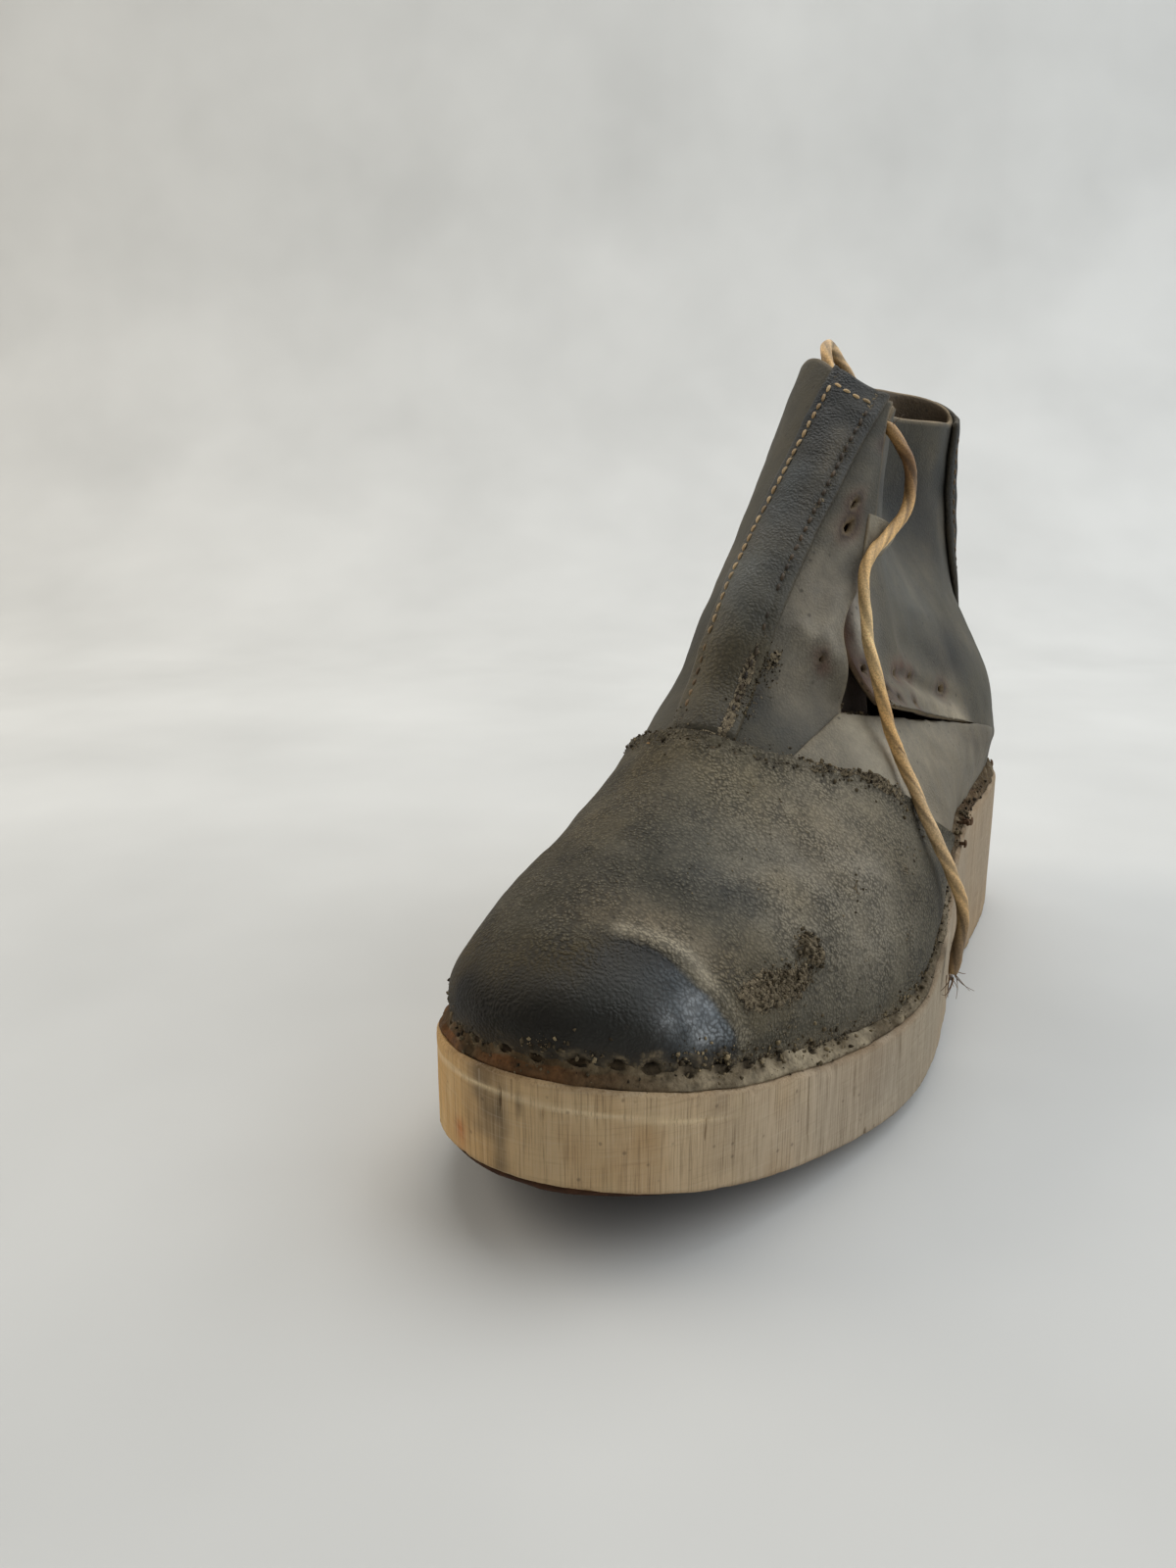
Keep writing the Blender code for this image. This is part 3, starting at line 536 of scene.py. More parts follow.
# Cells of a grid of points, and faces of a tube of rings closed at both ends
def gridCells(rows, columns):
    return [[j * columns + i, j * columns + i + 1, (j + 1) * columns + i + 1, (j + 1) * columns + i]
            for j in range(rows - 1) for i in range(columns - 1)]


def tubeFaces(rings, sides):
    faces = []
    for k in range((rings - 1) * sides):
        n = k + 1 if (k + 1) % sides else k + 1 - sides  # the next point round the ring
        faces.append([k, n, n + sides, k + sides])
    last = (rings - 1) * sides
    return faces + [list(range(sides))[::-1], list(range(last, last + sides))]


# Samples of the outer surfaces, for laying crumbs on.
skin = {"points": [], "normals": []}


def addSkin(points, normals):
    skin["points"].append(points)
    skin["normals"].append(normals)


def addPiece(name, forms, finish, replaces=(), sharp=None):
    start = 0
    faces = []
    for one in forms:
        faces += [[i + start for i in face] for face in one.faces]
        start += len(one.points)
    points = toWorld(np.concatenate([one.points for one in forms]))
    used = np.zeros(len(points), bool)
    used[[i for face in faces for i in face]] = True
    place = np.cumsum(used) - 1
    faces = [[int(place[i]) for i in face] for face in faces]
    points = points[used]
    mesh = bpy.data.meshes.new(name)
    mesh.from_pydata(points.tolist(), [], faces)
    shape = bmesh.new()
    shape.from_mesh(mesh)
    bmesh.ops.recalc_face_normals(shape, faces=shape.faces)
    shape.to_mesh(mesh)
    shape.free()
    for label, rows in (("tint", [one.tint for one in forms]), ("finish", [one.finish for one in forms])):
        values = np.concatenate(rows)[used]
        layer = mesh.attributes.new(label, "FLOAT_COLOR", "POINT")
        layer.data.foreach_set("color", np.column_stack([values, np.ones(len(values))]).ravel())
    mesh.shade_smooth()
    if sharp:
        mesh.set_sharp_from_angle(angle=math.radians(sharp))
    mesh.materials.append(finish)
    piece = addObject(name, mesh)
    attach(piece, body)
    if replaces:
        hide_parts(*replaces)
    print(name, len(mesh.polygons), "faces")
    return piece


# Point numbers and cells of a grid cut where keep(u, v) turns negative; gives places and rings.
def cutGrid(us, vs, keep):
    gridU, gridV = np.meshgrid(us, vs)
    depth = keep(gridU, gridV)
    places = []
    index = {}

    def corner(j, i):
        key = (j, i)
        if key not in index:
            index[key] = len(places)
            places.append((us[i], vs[j]))
        return index[key]

    def crossing(first, second):
        key = tuple(sorted([first, second]))
        if key not in index:
            (ja, ia), (jb, ib) = key
            da, db = depth[ja, ia], depth[jb, ib]
            share = min(max(da / (da - db), 0.03), 0.97)
            index[key] = len(places)
            places.append((us[ia] + share * (us[ib] - us[ia]), vs[ja] + share * (vs[jb] - vs[ja])))
        return index[key]

    cells = []
    inside = depth > 0
    for j in range(len(vs) - 1):
        for i in range(len(us) - 1):
            count = inside[j, i] + inside[j, i + 1] + inside[j + 1, i] + inside[j + 1, i + 1]
            if count == 0:
                continue
            ring = [(j, i), (j, i + 1), (j + 1, i + 1), (j + 1, i)]
            if count == 4:
                cells.append([corner(*key) for key in ring])
                continue
            kept = []
            for a, b in zip(ring, ring[1:] + ring[:1]):
                if inside[a]:
                    kept.append(corner(*a))
                if inside[a] != inside[b]:
                    kept.append(crossing(a, b))
            if len(kept) > 2:
                cells.append(kept)
    return np.array(places), cells


# Adds a node, gives it settings, and fills its sockets with values or links.
def addNode(tree, kind, values=(), **settings):
    made = tree.nodes.new(kind)
    for name, value in settings.items():
        setattr(made, name, value)
    for socket, value in dict(values).items():
        if isinstance(value, bpy.types.NodeSocket):
            tree.links.new(value, made.inputs[socket])
        else:
            made.inputs[socket].default_value = value
    return made


# Shared effects, each a node group placed in several materials.
def startGroup(name, inputs, outputs):
    group = bpy.data.node_groups.new(name, "ShaderNodeTree")
    group.interface.new_socket(name="Vector", in_out="INPUT", socket_type="NodeSocketVector")
    for label, value in inputs.items():
        socket = group.interface.new_socket(name=label, in_out="INPUT", socket_type="NodeSocketFloat")
        socket.default_value = value
    for label in outputs:
        kind = "NodeSocketColor" if label == "Colour" else "NodeSocketFloat"
        group.interface.new_socket(name=label, in_out="OUTPUT", socket_type=kind)
    given = addNode(group, "NodeGroupInput").outputs
    return group, given["Vector"], given, addNode(group, "NodeGroupOutput").inputs


def maths(tree, what, a, b, clamp=False):
    return addNode(tree, "ShaderNodeMath", {0: a, 1: b}, operation=what, use_clamp=clamp).outputs[0]


def times(tree, a, b):
    return maths(tree, "MULTIPLY", a, b)


def plus(tree, a, b):
    return maths(tree, "ADD", a, b)


def spread(tree, value, low, high, toLow=0.0, toHigh=1.0):
    values = {"Value": value, "From Min": low, "From Max": high, "To Min": toLow, "To Max": toHigh}
    return addNode(tree, "ShaderNodeMapRange", values).outputs[0]


def mixColour(tree, share, a, b, blend="MIX"):
    made = addNode(tree, "ShaderNodeMix", {0: share, 6: a, 7: b}, data_type="RGBA", blend_type=blend)
    return made.outputs[2]


def opaque(colour):
    return (*linear(colour), 1)


def noise(tree, where, scale, detail, roughness=0.5):
    values = {"Vector": where, "Scale": scale, "Detail": detail, "Roughness": roughness}
    return addNode(tree, "ShaderNodeTexNoise", values).outputs


# Places pushed about by a coloured noise
def swirled(tree, where, colour, reach):
    push = addNode(tree, "ShaderNodeVectorMath", {0: colour, 1: (reach,) * 3}, operation="MULTIPLY")
    return addNode(tree, "ShaderNodeVectorMath", {0: where, 1: push.outputs[0]}, operation="ADD").outputs[0]


# Pebbles of leather: height for a bump, the valleys between them and their peaks.
def makePebbleGrain():
    group, where, given, out = startGroup("pebbleGrain", {"Pebbles per metre": 900.0, "Unevenness": 0.5},
                                          ["Height", "Valleys", "Peaks"])
    moved = swirled(group, where, noise(group, where, 350.0, 1.0)["Color"], 0.0016)
    settings = {"Vector": moved, "Scale": given["Pebbles per metre"], "Smoothness": 0.35}
    cells = addNode(group, "ShaderNodeTexVoronoi", settings, feature="SMOOTH_F1")
    fine = noise(group, where, 2600.0, 2.0)["Fac"]
    wide = noise(group, where, 90.0, 2.0)["Fac"]
    dome = spread(group, cells.outputs["Distance"], 0.05, 0.75, 1.0, 0.0)
    uneven = times(group, spread(group, wide, 0.35, 0.65), given["Unevenness"])
    depth = maths(group, "SUBTRACT", 1.0, uneven, clamp=True)
    group.links.new(plus(group, times(group, dome, depth), times(group, fine, 0.35)), out["Height"])
    group.links.new(times(group, spread(group, dome, 0.55, 0.15), depth), out["Valleys"])
    group.links.new(times(group, spread(group, dome, 0.62, 0.92), depth), out["Peaks"])
    return group


# Dust lying in patches: a mask that a material mixes over its colour.
def makePatchyDust():
    group, where, given, out = startGroup("patchyDust", {"Amount": 0.5, "Patches per metre": 60.0}, ["Mask"])
    wide = noise(group, where, given["Patches per metre"], 5.0, 0.65)["Fac"]
    tight = noise(group, where, 700.0, 2.0)["Fac"]
    both = plus(group, times(group, wide, 0.7), times(group, tight, 0.3))
    limit = maths(group, "SUBTRACT", 0.78, times(group, given["Amount"], 0.5))
    group.links.new(spread(group, maths(group, "SUBTRACT", both, limit), -0.06, 0.26), out["Mask"])
    return group


# Small specks of dirt.
def makeFineSpecks():
    group, where, given, out = startGroup("fineSpecks", {"Specks per metre": 400.0, "Amount": 0.3}, ["Mask"])
    dots = addNode(group, "ShaderNodeTexVoronoi", {"Vector": where, "Scale": given["Specks per metre"]},
                   feature="F1")
    pick = addNode(group, "ShaderNodeSeparateColor", {"Color": dots.outputs["Color"]})
    chosen = maths(group, "LESS_THAN", pick.outputs[0], given["Amount"])
    near = spread(group, dots.outputs["Distance"], 0.30, 0.14)
    group.links.new(times(group, near, chosen), out["Mask"])
    return group


# Dried mud: where it lies, its grainy colour, and its height in units of the leather's grain.
def makeDriedMud():
    group, where, given, out = startGroup("driedMud", {"Amount": 0.0}, ["Mask", "Colour", "Height"])
    gritty = noise(group, where, 900.0, 5.0, 0.7)
    grit = gritty["Fac"]
    moved = swirled(group, where, gritty["Color"], 0.002)
    clods = addNode(group, "ShaderNodeTexVoronoi", {"Vector": moved, "Scale": 1250.0}, feature="F1")
    apart = clods.outputs["Distance"]
    edge = plus(group, given["Amount"], spread(group, grit, 0.25, 0.75, -0.45, 0.45))
    mask = spread(group, edge, 0.44, 0.54)
    tone = mixColour(group, spread(group, grit, 0.32, 0.66), opaque((84, 74, 57)), opaque((168, 152, 124)))
    tone = mixColour(group, spread(group, apart, 0.55, 0.75), tone, opaque((50, 42, 30)))
    tall = plus(group, times(group, grit, 3.2), spread(group, apart, 0.0, 0.7, 1.5, 0.0))
    group.links.new(mask, out["Mask"])
    group.links.new(tone, out["Colour"])
    group.links.new(times(group, tall, mask), out["Height"])
    return group


pebbleGrain = makePebbleGrain()
patchyDust = makePatchyDust()
fineSpecks = makeFineSpecks()
driedMud = makeDriedMud()


def startMaterial(name):
    made = bpy.data.materials.new(name)
    made.use_nodes = True
    tree = made.node_tree
    where = addNode(tree, "ShaderNodeTexCoord").outputs["Object"]
    return made, tree, tree.nodes["Principled BSDF"], where


def useGroup(tree, group, where, values):
    return addNode(tree, "ShaderNodeGroup", {"Vector": where, **values}, node_tree=group).outputs


# Gloss, dust and mud of the finish painted on the points
def readFinish(tree):
    read = addNode(tree, "ShaderNodeAttribute", attribute_name="finish")
    return list(addNode(tree, "ShaderNodeSeparateColor", {"Color": read.outputs["Color"]}).outputs)[:3]


# The painted tint, shaded between two tones by a mask
def shadedTint(tree, mask, dark, light, low=0.3, high=0.7):
    tint = addNode(tree, "ShaderNodeAttribute", attribute_name="tint").outputs["Color"]
    shade = mixColour(tree, spread(tree, mask, low, high), (*dark, 1), (*light, 1))
    return mixColour(tree, 1.0, tint, shade, "MULTIPLY")


def linkShader(tree, shader, colour, matt, height, distance, strength=1.0):
    bump = addNode(tree, "ShaderNodeBump", {"Height": height, "Distance": distance, "Strength": strength})
    tree.links.new(colour, shader.inputs["Base Color"])
    tree.links.new(matt, shader.inputs["Roughness"])
    tree.links.new(bump.outputs["Normal"], shader.inputs["Normal"])


# Grained leather: the painted tint, pebbles with painted shade in their valleys, dust in patches, specks,
# and gloss where it is polished.
def makeLeather(name, pebbles, depth, dustColour, roughness=(0.80, 0.42), grainShade=0.45, specks=0.12,
                shine=0.4):
    made, tree, shader, where = startMaterial(name)
    gloss, dust, mud = readFinish(tree)
    grain = useGroup(tree, pebbleGrain, where, {"Pebbles per metre": pebbles, "Unevenness": 0.6})
    patch = useGroup(tree, patchyDust, where, {"Amount": dust, "Patches per metre": 80.0})
    speck = useGroup(tree, fineSpecks, where, {"Specks per metre": 420.0, "Amount": specks})
    lying = useGroup(tree, driedMud, where, {"Amount": mud})
    mottle = noise(tree, where, 130.0, 6.0, 0.7)["Fac"]
    colour = shadedTint(tree, mottle, (0.72, 0.72, 0.72), (1.22, 1.20, 1.16))
    # painted shade in the valleys between pebbles, and pale dust on their peaks that also serves as painted
    # highlight
    colour = mixColour(tree, times(tree, grain["Valleys"], grainShade), colour, (0.02, 0.018, 0.015, 1))
    peaks = times(tree, grain["Peaks"], times(tree, dust, grainShade))
    colour = mixColour(tree, peaks, colour, opaque(dustColour))
    dustShare = times(tree, patch["Mask"], times(tree, dust, 0.34))
    colour = mixColour(tree, dustShare, colour, opaque(dustColour))
    colour = mixColour(tree, times(tree, speck["Mask"], 0.55), colour, (0.028, 0.024, 0.018, 1))
    colour = mixColour(tree, lying["Mask"], colour, lying["Colour"])
    matt = spread(tree, gloss, 0.0, 1.0, roughness[0], roughness[1])
    matt = plus(tree, matt, times(tree, dustShare, 0.25))
    matt = maths(tree, "ADD", matt, spread(tree, mottle, 0.3, 0.7, -0.06, 0.06), clamp=True)
    matt = maths(tree, "MAXIMUM", matt, times(tree, lying["Mask"], 0.95))
    grit = noise(tree, where, 1500.0, 3.0)["Fac"]
    high = plus(tree, times(tree, grain["Height"], spread(tree, gloss, 0.3, 0.9, 1.0, 0.4)),
                times(tree, times(tree, grit, dustShare), 1.4))
    high = plus(tree, times(tree, high, maths(tree, "SUBTRACT", 1.0, lying["Mask"])), lying["Height"])
    linkShader(tree, shader, colour, matt, high, depth)
    shader.inputs["Specular IOR Level"].default_value = shine
    return made


# Sawn wood: tint, fine streaks standing on end, level saw marks, pores and dust.
def makeWood():
    made, tree, shader, where = startMaterial("bareWood")
    dust = readFinish(tree)[1]

    def streaks(scale, detail, roughness=0.6):
        stretched = addNode(tree, "ShaderNodeMapping", {"Vector": where, "Scale": scale})
        return noise(tree, stretched.outputs[0], 1.0, detail, roughness)["Fac"]

    fine = streaks((2300.0, 2300.0, 60.0), 3.0)
    wide = streaks((260.0, 260.0, 40.0), 5.0)
    saw = streaks((70.0, 70.0, 1500.0), 3.0, 0.7)
    colour = shadedTint(tree, wide, (0.93, 0.92, 0.90), (1.09, 1.08, 1.07), 0.32, 0.68)
    # mask, where it starts and is full, strength and tone
    tones = [(fine, 0.5, 0.68, 0.42, (0.12, 0.08, 0.042, 1)), (fine, 0.44, 0.3, 0.22, (0.62, 0.52, 0.38, 1)),
             (saw, 0.54, 0.7, 0.2, (0.6, 0.5, 0.36, 1)), (saw, 0.44, 0.32, 0.14, (0.14, 0.09, 0.045, 1))]
    for mask, low, high, most, tone in tones:
        colour = mixColour(tree, spread(tree, mask, low, high, 0.0, most), colour, tone)
    pores = useGroup(tree, fineSpecks, where, {"Specks per metre": 520.0, "Amount": 0.10})
    colour = mixColour(tree, times(tree, pores["Mask"], 0.45), colour, (0.07, 0.045, 0.025, 1))
    patch = useGroup(tree, patchyDust, where, {"Amount": dust, "Patches per metre": 45.0})
    dusty = times(tree, patch["Mask"], times(tree, dust, 0.5))
    colour = mixColour(tree, dusty, colour, opaque((132, 118, 100)))
    high = plus(tree, times(tree, fine, -0.8), times(tree, saw, 0.22))
    linkShader(tree, shader, colour, spread(tree, fine, 0.3, 0.7, 0.62, 0.86), high, 0.00026, 0.9)
    shader.inputs["Specular IOR Level"].default_value = 0.3
    return made


# Torn leather, dried mud and rust: tint, crumbs at two sizes and specks.
def makeCrumbly(name, coarse, depth, darkShare=0.5, roughness=0.92):
    made, tree, shader, where = startMaterial(name)
    big = noise(tree, where, coarse, 6.0, 0.7)["Fac"]
    cell = addNode(tree, "ShaderNodeTexVoronoi", {"Vector": where, "Scale": coarse * 1.6}, feature="F1")
    specks = useGroup(tree, fineSpecks, where, {"Specks per metre": 700.0, "Amount": 0.25})
    colour = shadedTint(tree, big, (0.55, 0.54, 0.52), (1.4, 1.38, 1.34))
    colour = mixColour(tree, times(tree, specks["Mask"], darkShare), colour, (0.02, 0.014, 0.009, 1))
    high = plus(tree, big, times(tree, cell.outputs["Distance"], -0.5))
    linkShader(tree, shader, colour, spread(tree, big, 0.3, 0.7, roughness - 0.08, roughness), high, depth)
    shader.inputs["Specular IOR Level"].default_value = 0.2
    return made


# Waxed thread: tint with fine fibres.
def makeThread(name, fibres, roughness, depth=0.00012):
    made, tree, shader, where = startMaterial(name)
    hair = noise(tree, where, fibres, 3.0)["Fac"]
    colour = shadedTint(tree, hair, (0.7, 0.66, 0.6), (1.25, 1.22, 1.18))
    patch = useGroup(tree, patchyDust, where, {"Amount": 0.35, "Patches per metre": 120.0})
    colour = mixColour(tree, times(tree, patch["Mask"], 0.3), colour, opaque((110, 88, 60)))
    matt = spread(tree, hair, 0.3, 0.7, roughness, roughness + 0.2)
    linkShader(tree, shader, colour, matt, hair, depth, 0.8)
    return made


vampFinish = makeLeather("vampLeather", 1240.0, 0.00040, (156, 147, 128), grainShade=0.66, shine=0.22)
quarterFinish = makeLeather("quarterLeather", 1400.0, 0.00012, (120, 111, 92), grainShade=0.16)
stripFinish = makeLeather("stripLeather", 1250.0, 0.00022, (104, 94, 74), (0.72, 0.36), 0.4)
stayFinish = makeLeather("stayLeather", 1250.0, 0.00020, (94, 86, 70))
insoleFinish = makeLeather("insoleLeather", 900.0, 0.00016, (110, 95, 74))
woodFinish = makeWood()
randFinish = makeCrumbly("randLeather", 420.0, 0.0009)
treadFinish = makeCrumbly("treadLeather", 300.0, 0.0005)
mudFinish = makeCrumbly("driedMud", 620.0, 0.0010, 0.35)
rustFinish = makeCrumbly("rustyIron", 900.0, 0.0004)
cordFinish = makeThread("waxedCord", 2400.0, 0.45, 0.0002)
threadFinish = makeThread("stitchThread", 3500.0, 0.5)
print("materials made")


# The cord: waxed, three strands twisted, standing in a loop behind the strip and hanging outside.
lace = {"diameter": 3.5, "pitch": 34.0, "sides": 18, "step": 0.8, "tan": (226, 184, 120),
        "endFibres": 14, "otherFibres": 8, "fibreRadius": 0.16, "fibreTan": (120, 92, 62)}
laceRoute = [
    (-3.1, 118.5, 175.3), (-3.7, 119, 180.2), (-5, 117.6, 184.6), (-6.4, 115.8, 187.9),
    (-8, 113.8, 191.1), (-9.2, 111, 193.3), (-9.9, 107, 194.6), (-10.1, 101.5, 193.5),
    (-9.9, 97, 191.5), (-9.2, 92.5, 188.9), (-8.4, 89, 186.2), (-7.3, 87, 183.1),
    (-5.7, 87.5, 178.6), (-1.4, 93, 172.4), (0.6, 101, 168.2), (4, 110, 166.2), (7, 117.6, 167.4),
    (9.6, 121.6, 169.4), (13, 123.2, 170.7), (16, 125.2, 169.2), (18.7, 126.2, 165.8),
    (20.8, 125.7, 162.3), (21.9, 125, 156.4), (22.3, 126.8, 150.4), (21.2, 132.5, 144.9),
    (19.4, 142, 140), (18.8, 151.5, 135.8), (19, 155.5, 131), (20.8, 158.3, 123.9),
    (22.5, 160.5, 116.4), (25.9, 162.6, 107.4), (28.7, 163, 98.5), (30.9, 162.4, 91.6),
    (33.2, 162.4, 86.4), (37.8, 164, 78.9), (42.6, 166.5, 71), (47.1, 166, 62.5),
    (49.9, 162.5, 54.3), (52, 160.5, 47.6), (52.8, 160, 42.6), (52.2, 160, 35.5), (51.9, 161.5, 30),
    (51.7, 163, 27.2),
]


# Even points along a smooth curve through route points.
def evenRoute(route, step):
    route = np.array(route, float)
    run = runLength(route)
    fine = bentCurve(run, route)(np.linspace(0, run[-1], 1200))
    length = runLength(fine)
    even = np.linspace(0, length[-1], max(int(length[-1] / step), 4))
    return alongLine(even, length, fine), even


# Two directions square to the line at each point, carried along without twist.
def carriedFrame(line):
    ahead = unit(np.gradient(line, axis=0))
    side = np.cross(ahead[0], (0.3, 0.5, 0.8))
    first = []
    for way in ahead:
        side = unit(side - way * (side @ way))
        first.append(side)
    first = np.array(first)
    return first, np.cross(ahead, first)


def twistedTube(line, run, radius, sides, pitch, tint, strands=3, lobe=0.045, taper=None):
    first, second = carriedFrame(line)
    turn = np.linspace(0, 2 * math.pi, sides, endpoint=False)
    twist = 2 * math.pi * run / pitch
    strandWave = np.cos(strands * (turn[None, :] - twist[:, None]))
    wide = radius * (1 - lobe + lobe * strandWave) * (1 if taper is None else taper[:, None])
    worn = lumps(points3(run, run, run)[:, None, :] + turn[None, :, None], 1.6, 4)
    wide = wide * (1 + 0.05 * worn)
    ring = wide[..., None] * (np.cos(turn)[None, :, None] * first[:, None, :]
                              + np.sin(turn)[None, :, None] * second[:, None, :])
    points = (line[:, None, :] + ring).reshape(-1, 3)
    count = len(line)
    # painted shade in the grooves between the strands, darkening the tint there
    groove = (0.5 - 0.5 * strandWave).reshape(-1, 1)
    around = np.tile(turn * 3.4, count) - np.repeat(twist * 3.4, sides)
    strand = lumps(points3(np.repeat(run / 9, sides), around, 0), 1.0, 6)
    colour = np.repeat(tint, sides, axis=0) * (1 - 0.45 * groove ** 3) * (1 + 0.42 * strand[:, None])
    return form(points, tubeFaces(count, sides), colour, finishOf(points, 0.4, 0.2))


def makeLace():
    line, run = evenRoute(laceRoute, lace["step"])
    base = paint(line, lace["tan"], [
        (9, 0.75, (206, 178, 138), [(-9, 107, 194), (-8, 90, 186)]),
        (14, 0.8, (138, 104, 66), (20, 126, 160)),
        (17, 0.7, (244, 214, 160), (23, 160, 116)),
        (9, 0.4, (216, 162, 92), (30, 162, 94)),
        (24, 0.7, (214, 184, 140), (46, 165, 66)),
        (13, 0.8, (128, 106, 80), (52, 160, 34)),
    ], seed=5, broken=0.5)
    worn = 1 - 0.20 * hump(np.linalg.norm(line - (20.3, 157, 126), axis=1), 0, 17)
    ends = worn * np.clip(np.minimum(run, run[-1] - run) / 4.0, 0, 1) ** 0.5 * 0.35 + 0.65
    core = twistedTube(line, run, lace["diameter"] / 2, lace["sides"], lace["pitch"], base, taper=ends)
    placed = addPiece("laceCord", [core], cordFinish, ["lace"])
    # loose fibres at the cut end and a few along the run
    rng = np.random.default_rng(7)
    hairs = []
    for k in range(lace["endFibres"] + lace["otherFibres"]):
        if k < lace["endFibres"]:
            start = line[-1] + rng.normal(0, 0.7, 3)
            way = np.array([0.1, 0.15, -1]) + rng.normal(0, 0.45, 3)
            size = rng.uniform(3.0, 7.5)
        else:
            start = line[rng.integers(60, len(line) - 6)]
            way = rng.normal(0, 1, 3)
            size = rng.uniform(2.5, 5.0)
        way = unit(way)
        bend = rng.normal(0, 0.5, 3)
        t = np.linspace(0, 1, 7)[:, None]
        hair = start + size * (t * way + t ** 2 * bend * 0.6)
        hair[:, 2] = np.maximum(hair[:, 2], 20.5)
        colour = np.tile(linear(lace["fibreTan"]), (7, 1)) * rng.uniform(0.7, 1.5)
        hairs.append(twistedTube(hair, np.linspace(0, size, 7), lace["fibreRadius"], 5, 9.0, colour,
                                 lobe=0.0, taper=np.linspace(1, 0.35, 7)))
    fibres = addPiece("laceFibres", hairs, cordFinish)


makeLace()


perimeter = 690.0  # mm round the wood

# The wood: side wall with saw marks, checks and a scribed line, closed by strips above and below.
wood = {"around": 880, "rows": 30, "edge": 1.0, "tan": (178, 150, 114)}
# checks in the wood: place round the edge, lowest and highest share of its height, width, depth
woodCracks = [
    (0.438, 0.55, 0.80, 0.10, 0.4), (0.392, 0.30, 0.98, 0.12, 0.4), (0.366, 0.55, 0.95, 0.12, 0.5),
    (0.503, 0.66, 0.88, 0.18, 0.6), (0.489, 0.64, 0.78, 0.18, 0.5), (0.356, 0.0, 0.12, 0.30, 0.7),
    (0.334, 0.35, 1.0, 0.16, 0.5), (0.640, 0.2, 1.0, 0.22, 0.9),
    (0.820, 0.1, 0.9, 0.22, 0.9), (0.965, 0.0, 0.8, 0.22, 0.9), (0.060, 0.2, 1.0, 0.22, 0.9),
]
# stains on the wood: place, width, strength, colour, lowest and highest share of its height
woodStains = [
    (0.5095, 5.0, 0.55, (92, 82, 66), 0.35, 1.0), (0.503, 2.2, 0.5, (86, 74, 58), 0.0, 0.9),
    (0.523, 2.6, 0.6, (184, 112, 56), 0.05, 0.35), (0.496, 0.9, 0.9, (56, 40, 26), 0.66, 0.82),
    (0.545, 7.0, 0.35, (206, 164, 96), 0.0, 1.0), (0.43, 6.0, 0.25, (120, 104, 84), 0.2, 1.0),
    (0.35, 9.0, 0.25, (124, 108, 90), 0.3, 1.0), (0.23, 9.0, 0.35, (110, 92, 72), 0.4, 1.0),
]


# Places round the wood so that the two sides pair up at like distances from the back, with close
# columns at each check.
def mirroredPlaces(count, checks=()):
    half = count // 2
    t = (1 - np.cos(np.linspace(0, math.pi, half + 1))) / 2 * 0.25 + np.linspace(0, 1, half + 1) * 0.75
    for at, width in checks:
        share = at / frontU if at < frontU else (1 - at) / (1 - frontU)
        t = np.append(t, share + np.array([-2.4, -1.2, -0.5, 0, 0.5, 1.2, 2.4]) * width / 330)
    t = np.unique(np.round(np.clip(t, 0, 1), 6))
    return np.concatenate([frontU * t, (1 - (1 - frontU) * t)[-2:0:-1]])


# Strips that close a ring of paired points.
def capFaces(count, start, flip):
    faces = []
    half = count // 2
    for i in range(half):
        a, b, c, d = i, i + 1, (count - i - 1) % count, (count - i) % count
        ring = [a, b, c, d] if d != a else [a, b, c]
        ring = [a, b, d] if b == c else ring
        ring = [start + k for k in ring]
        faces.append(ring[::-1] if flip else ring)
    return faces


def ringFaces(count, layers, start=0):
    faces = []
    for k in range(layers - 1):
        for i in range(count):
            n = (i + 1) % count
            a, b = start + k * count, start + (k + 1) * count
            faces.append([a + n, a + i, b + i, b + n])
    return faces


# 1 between the two ends of a check in the wood, easing to 0 past them
def checkEnds(share, low, high):
    return smooth(share, low - 0.04, low + 0.06) * (1 - smooth(share, high - 0.1, high + 0.02))


# The line scribed round the toe: mm below the wood's upper edge at each place
def scribedDepth(places):
    return np.interp(places, [0.44, 0.53], [6.2, 4.0])


# How far the wood's wall lies inside its outline at one share of its height
def woodInset(places, share):
    outline = soleOutline(places)
    low, high = woodBottom(outline[:, 0]), woodTop(outline[:, 0])
    z = low * (1 - share) + high * share
    fromEdge = np.minimum(z - low, high - z)
    seat = raised(outline, z)
    along = points3(places * perimeter, 0, z)
    inset = wood["edge"] * np.clip(1 - fromEdge / wood["edge"], 0, 1) ** 2
    chips = np.clip(lumps(seat, 5, 21) - 0.45, 0, 1) * 2.2 * np.clip(1 - fromEdge / 2.6, 0, 1)
    grooves = 0.07 * lumps(along * (1.1, 1, 0.05), 1.0, 22) + 0.05 * lumps(along * (0.33, 1, 0.04), 1.0, 23)
    inset = inset + chips - grooves + 0.14 * lumps(seat, 9, 24)
    for at, lowShare, highShare, width, depth in woodCracks:
        drift = at + 0.0008 * lumps(along * (0, 0, 0.12) + at * 900, 1.0, 25)
        crack = depth * hump(places * perimeter, drift * perimeter, width)
        inset = inset + crack * checkEnds(share, lowShare, highShare)
    scribe = 0.6 * hump(high - z, scribedDepth(places), 0.45)
    scribe = scribe * smooth(places, 0.42, 0.44) * (1 - smooth(places, 0.55, 0.57))
    return inset + 0.30 * scribe, z


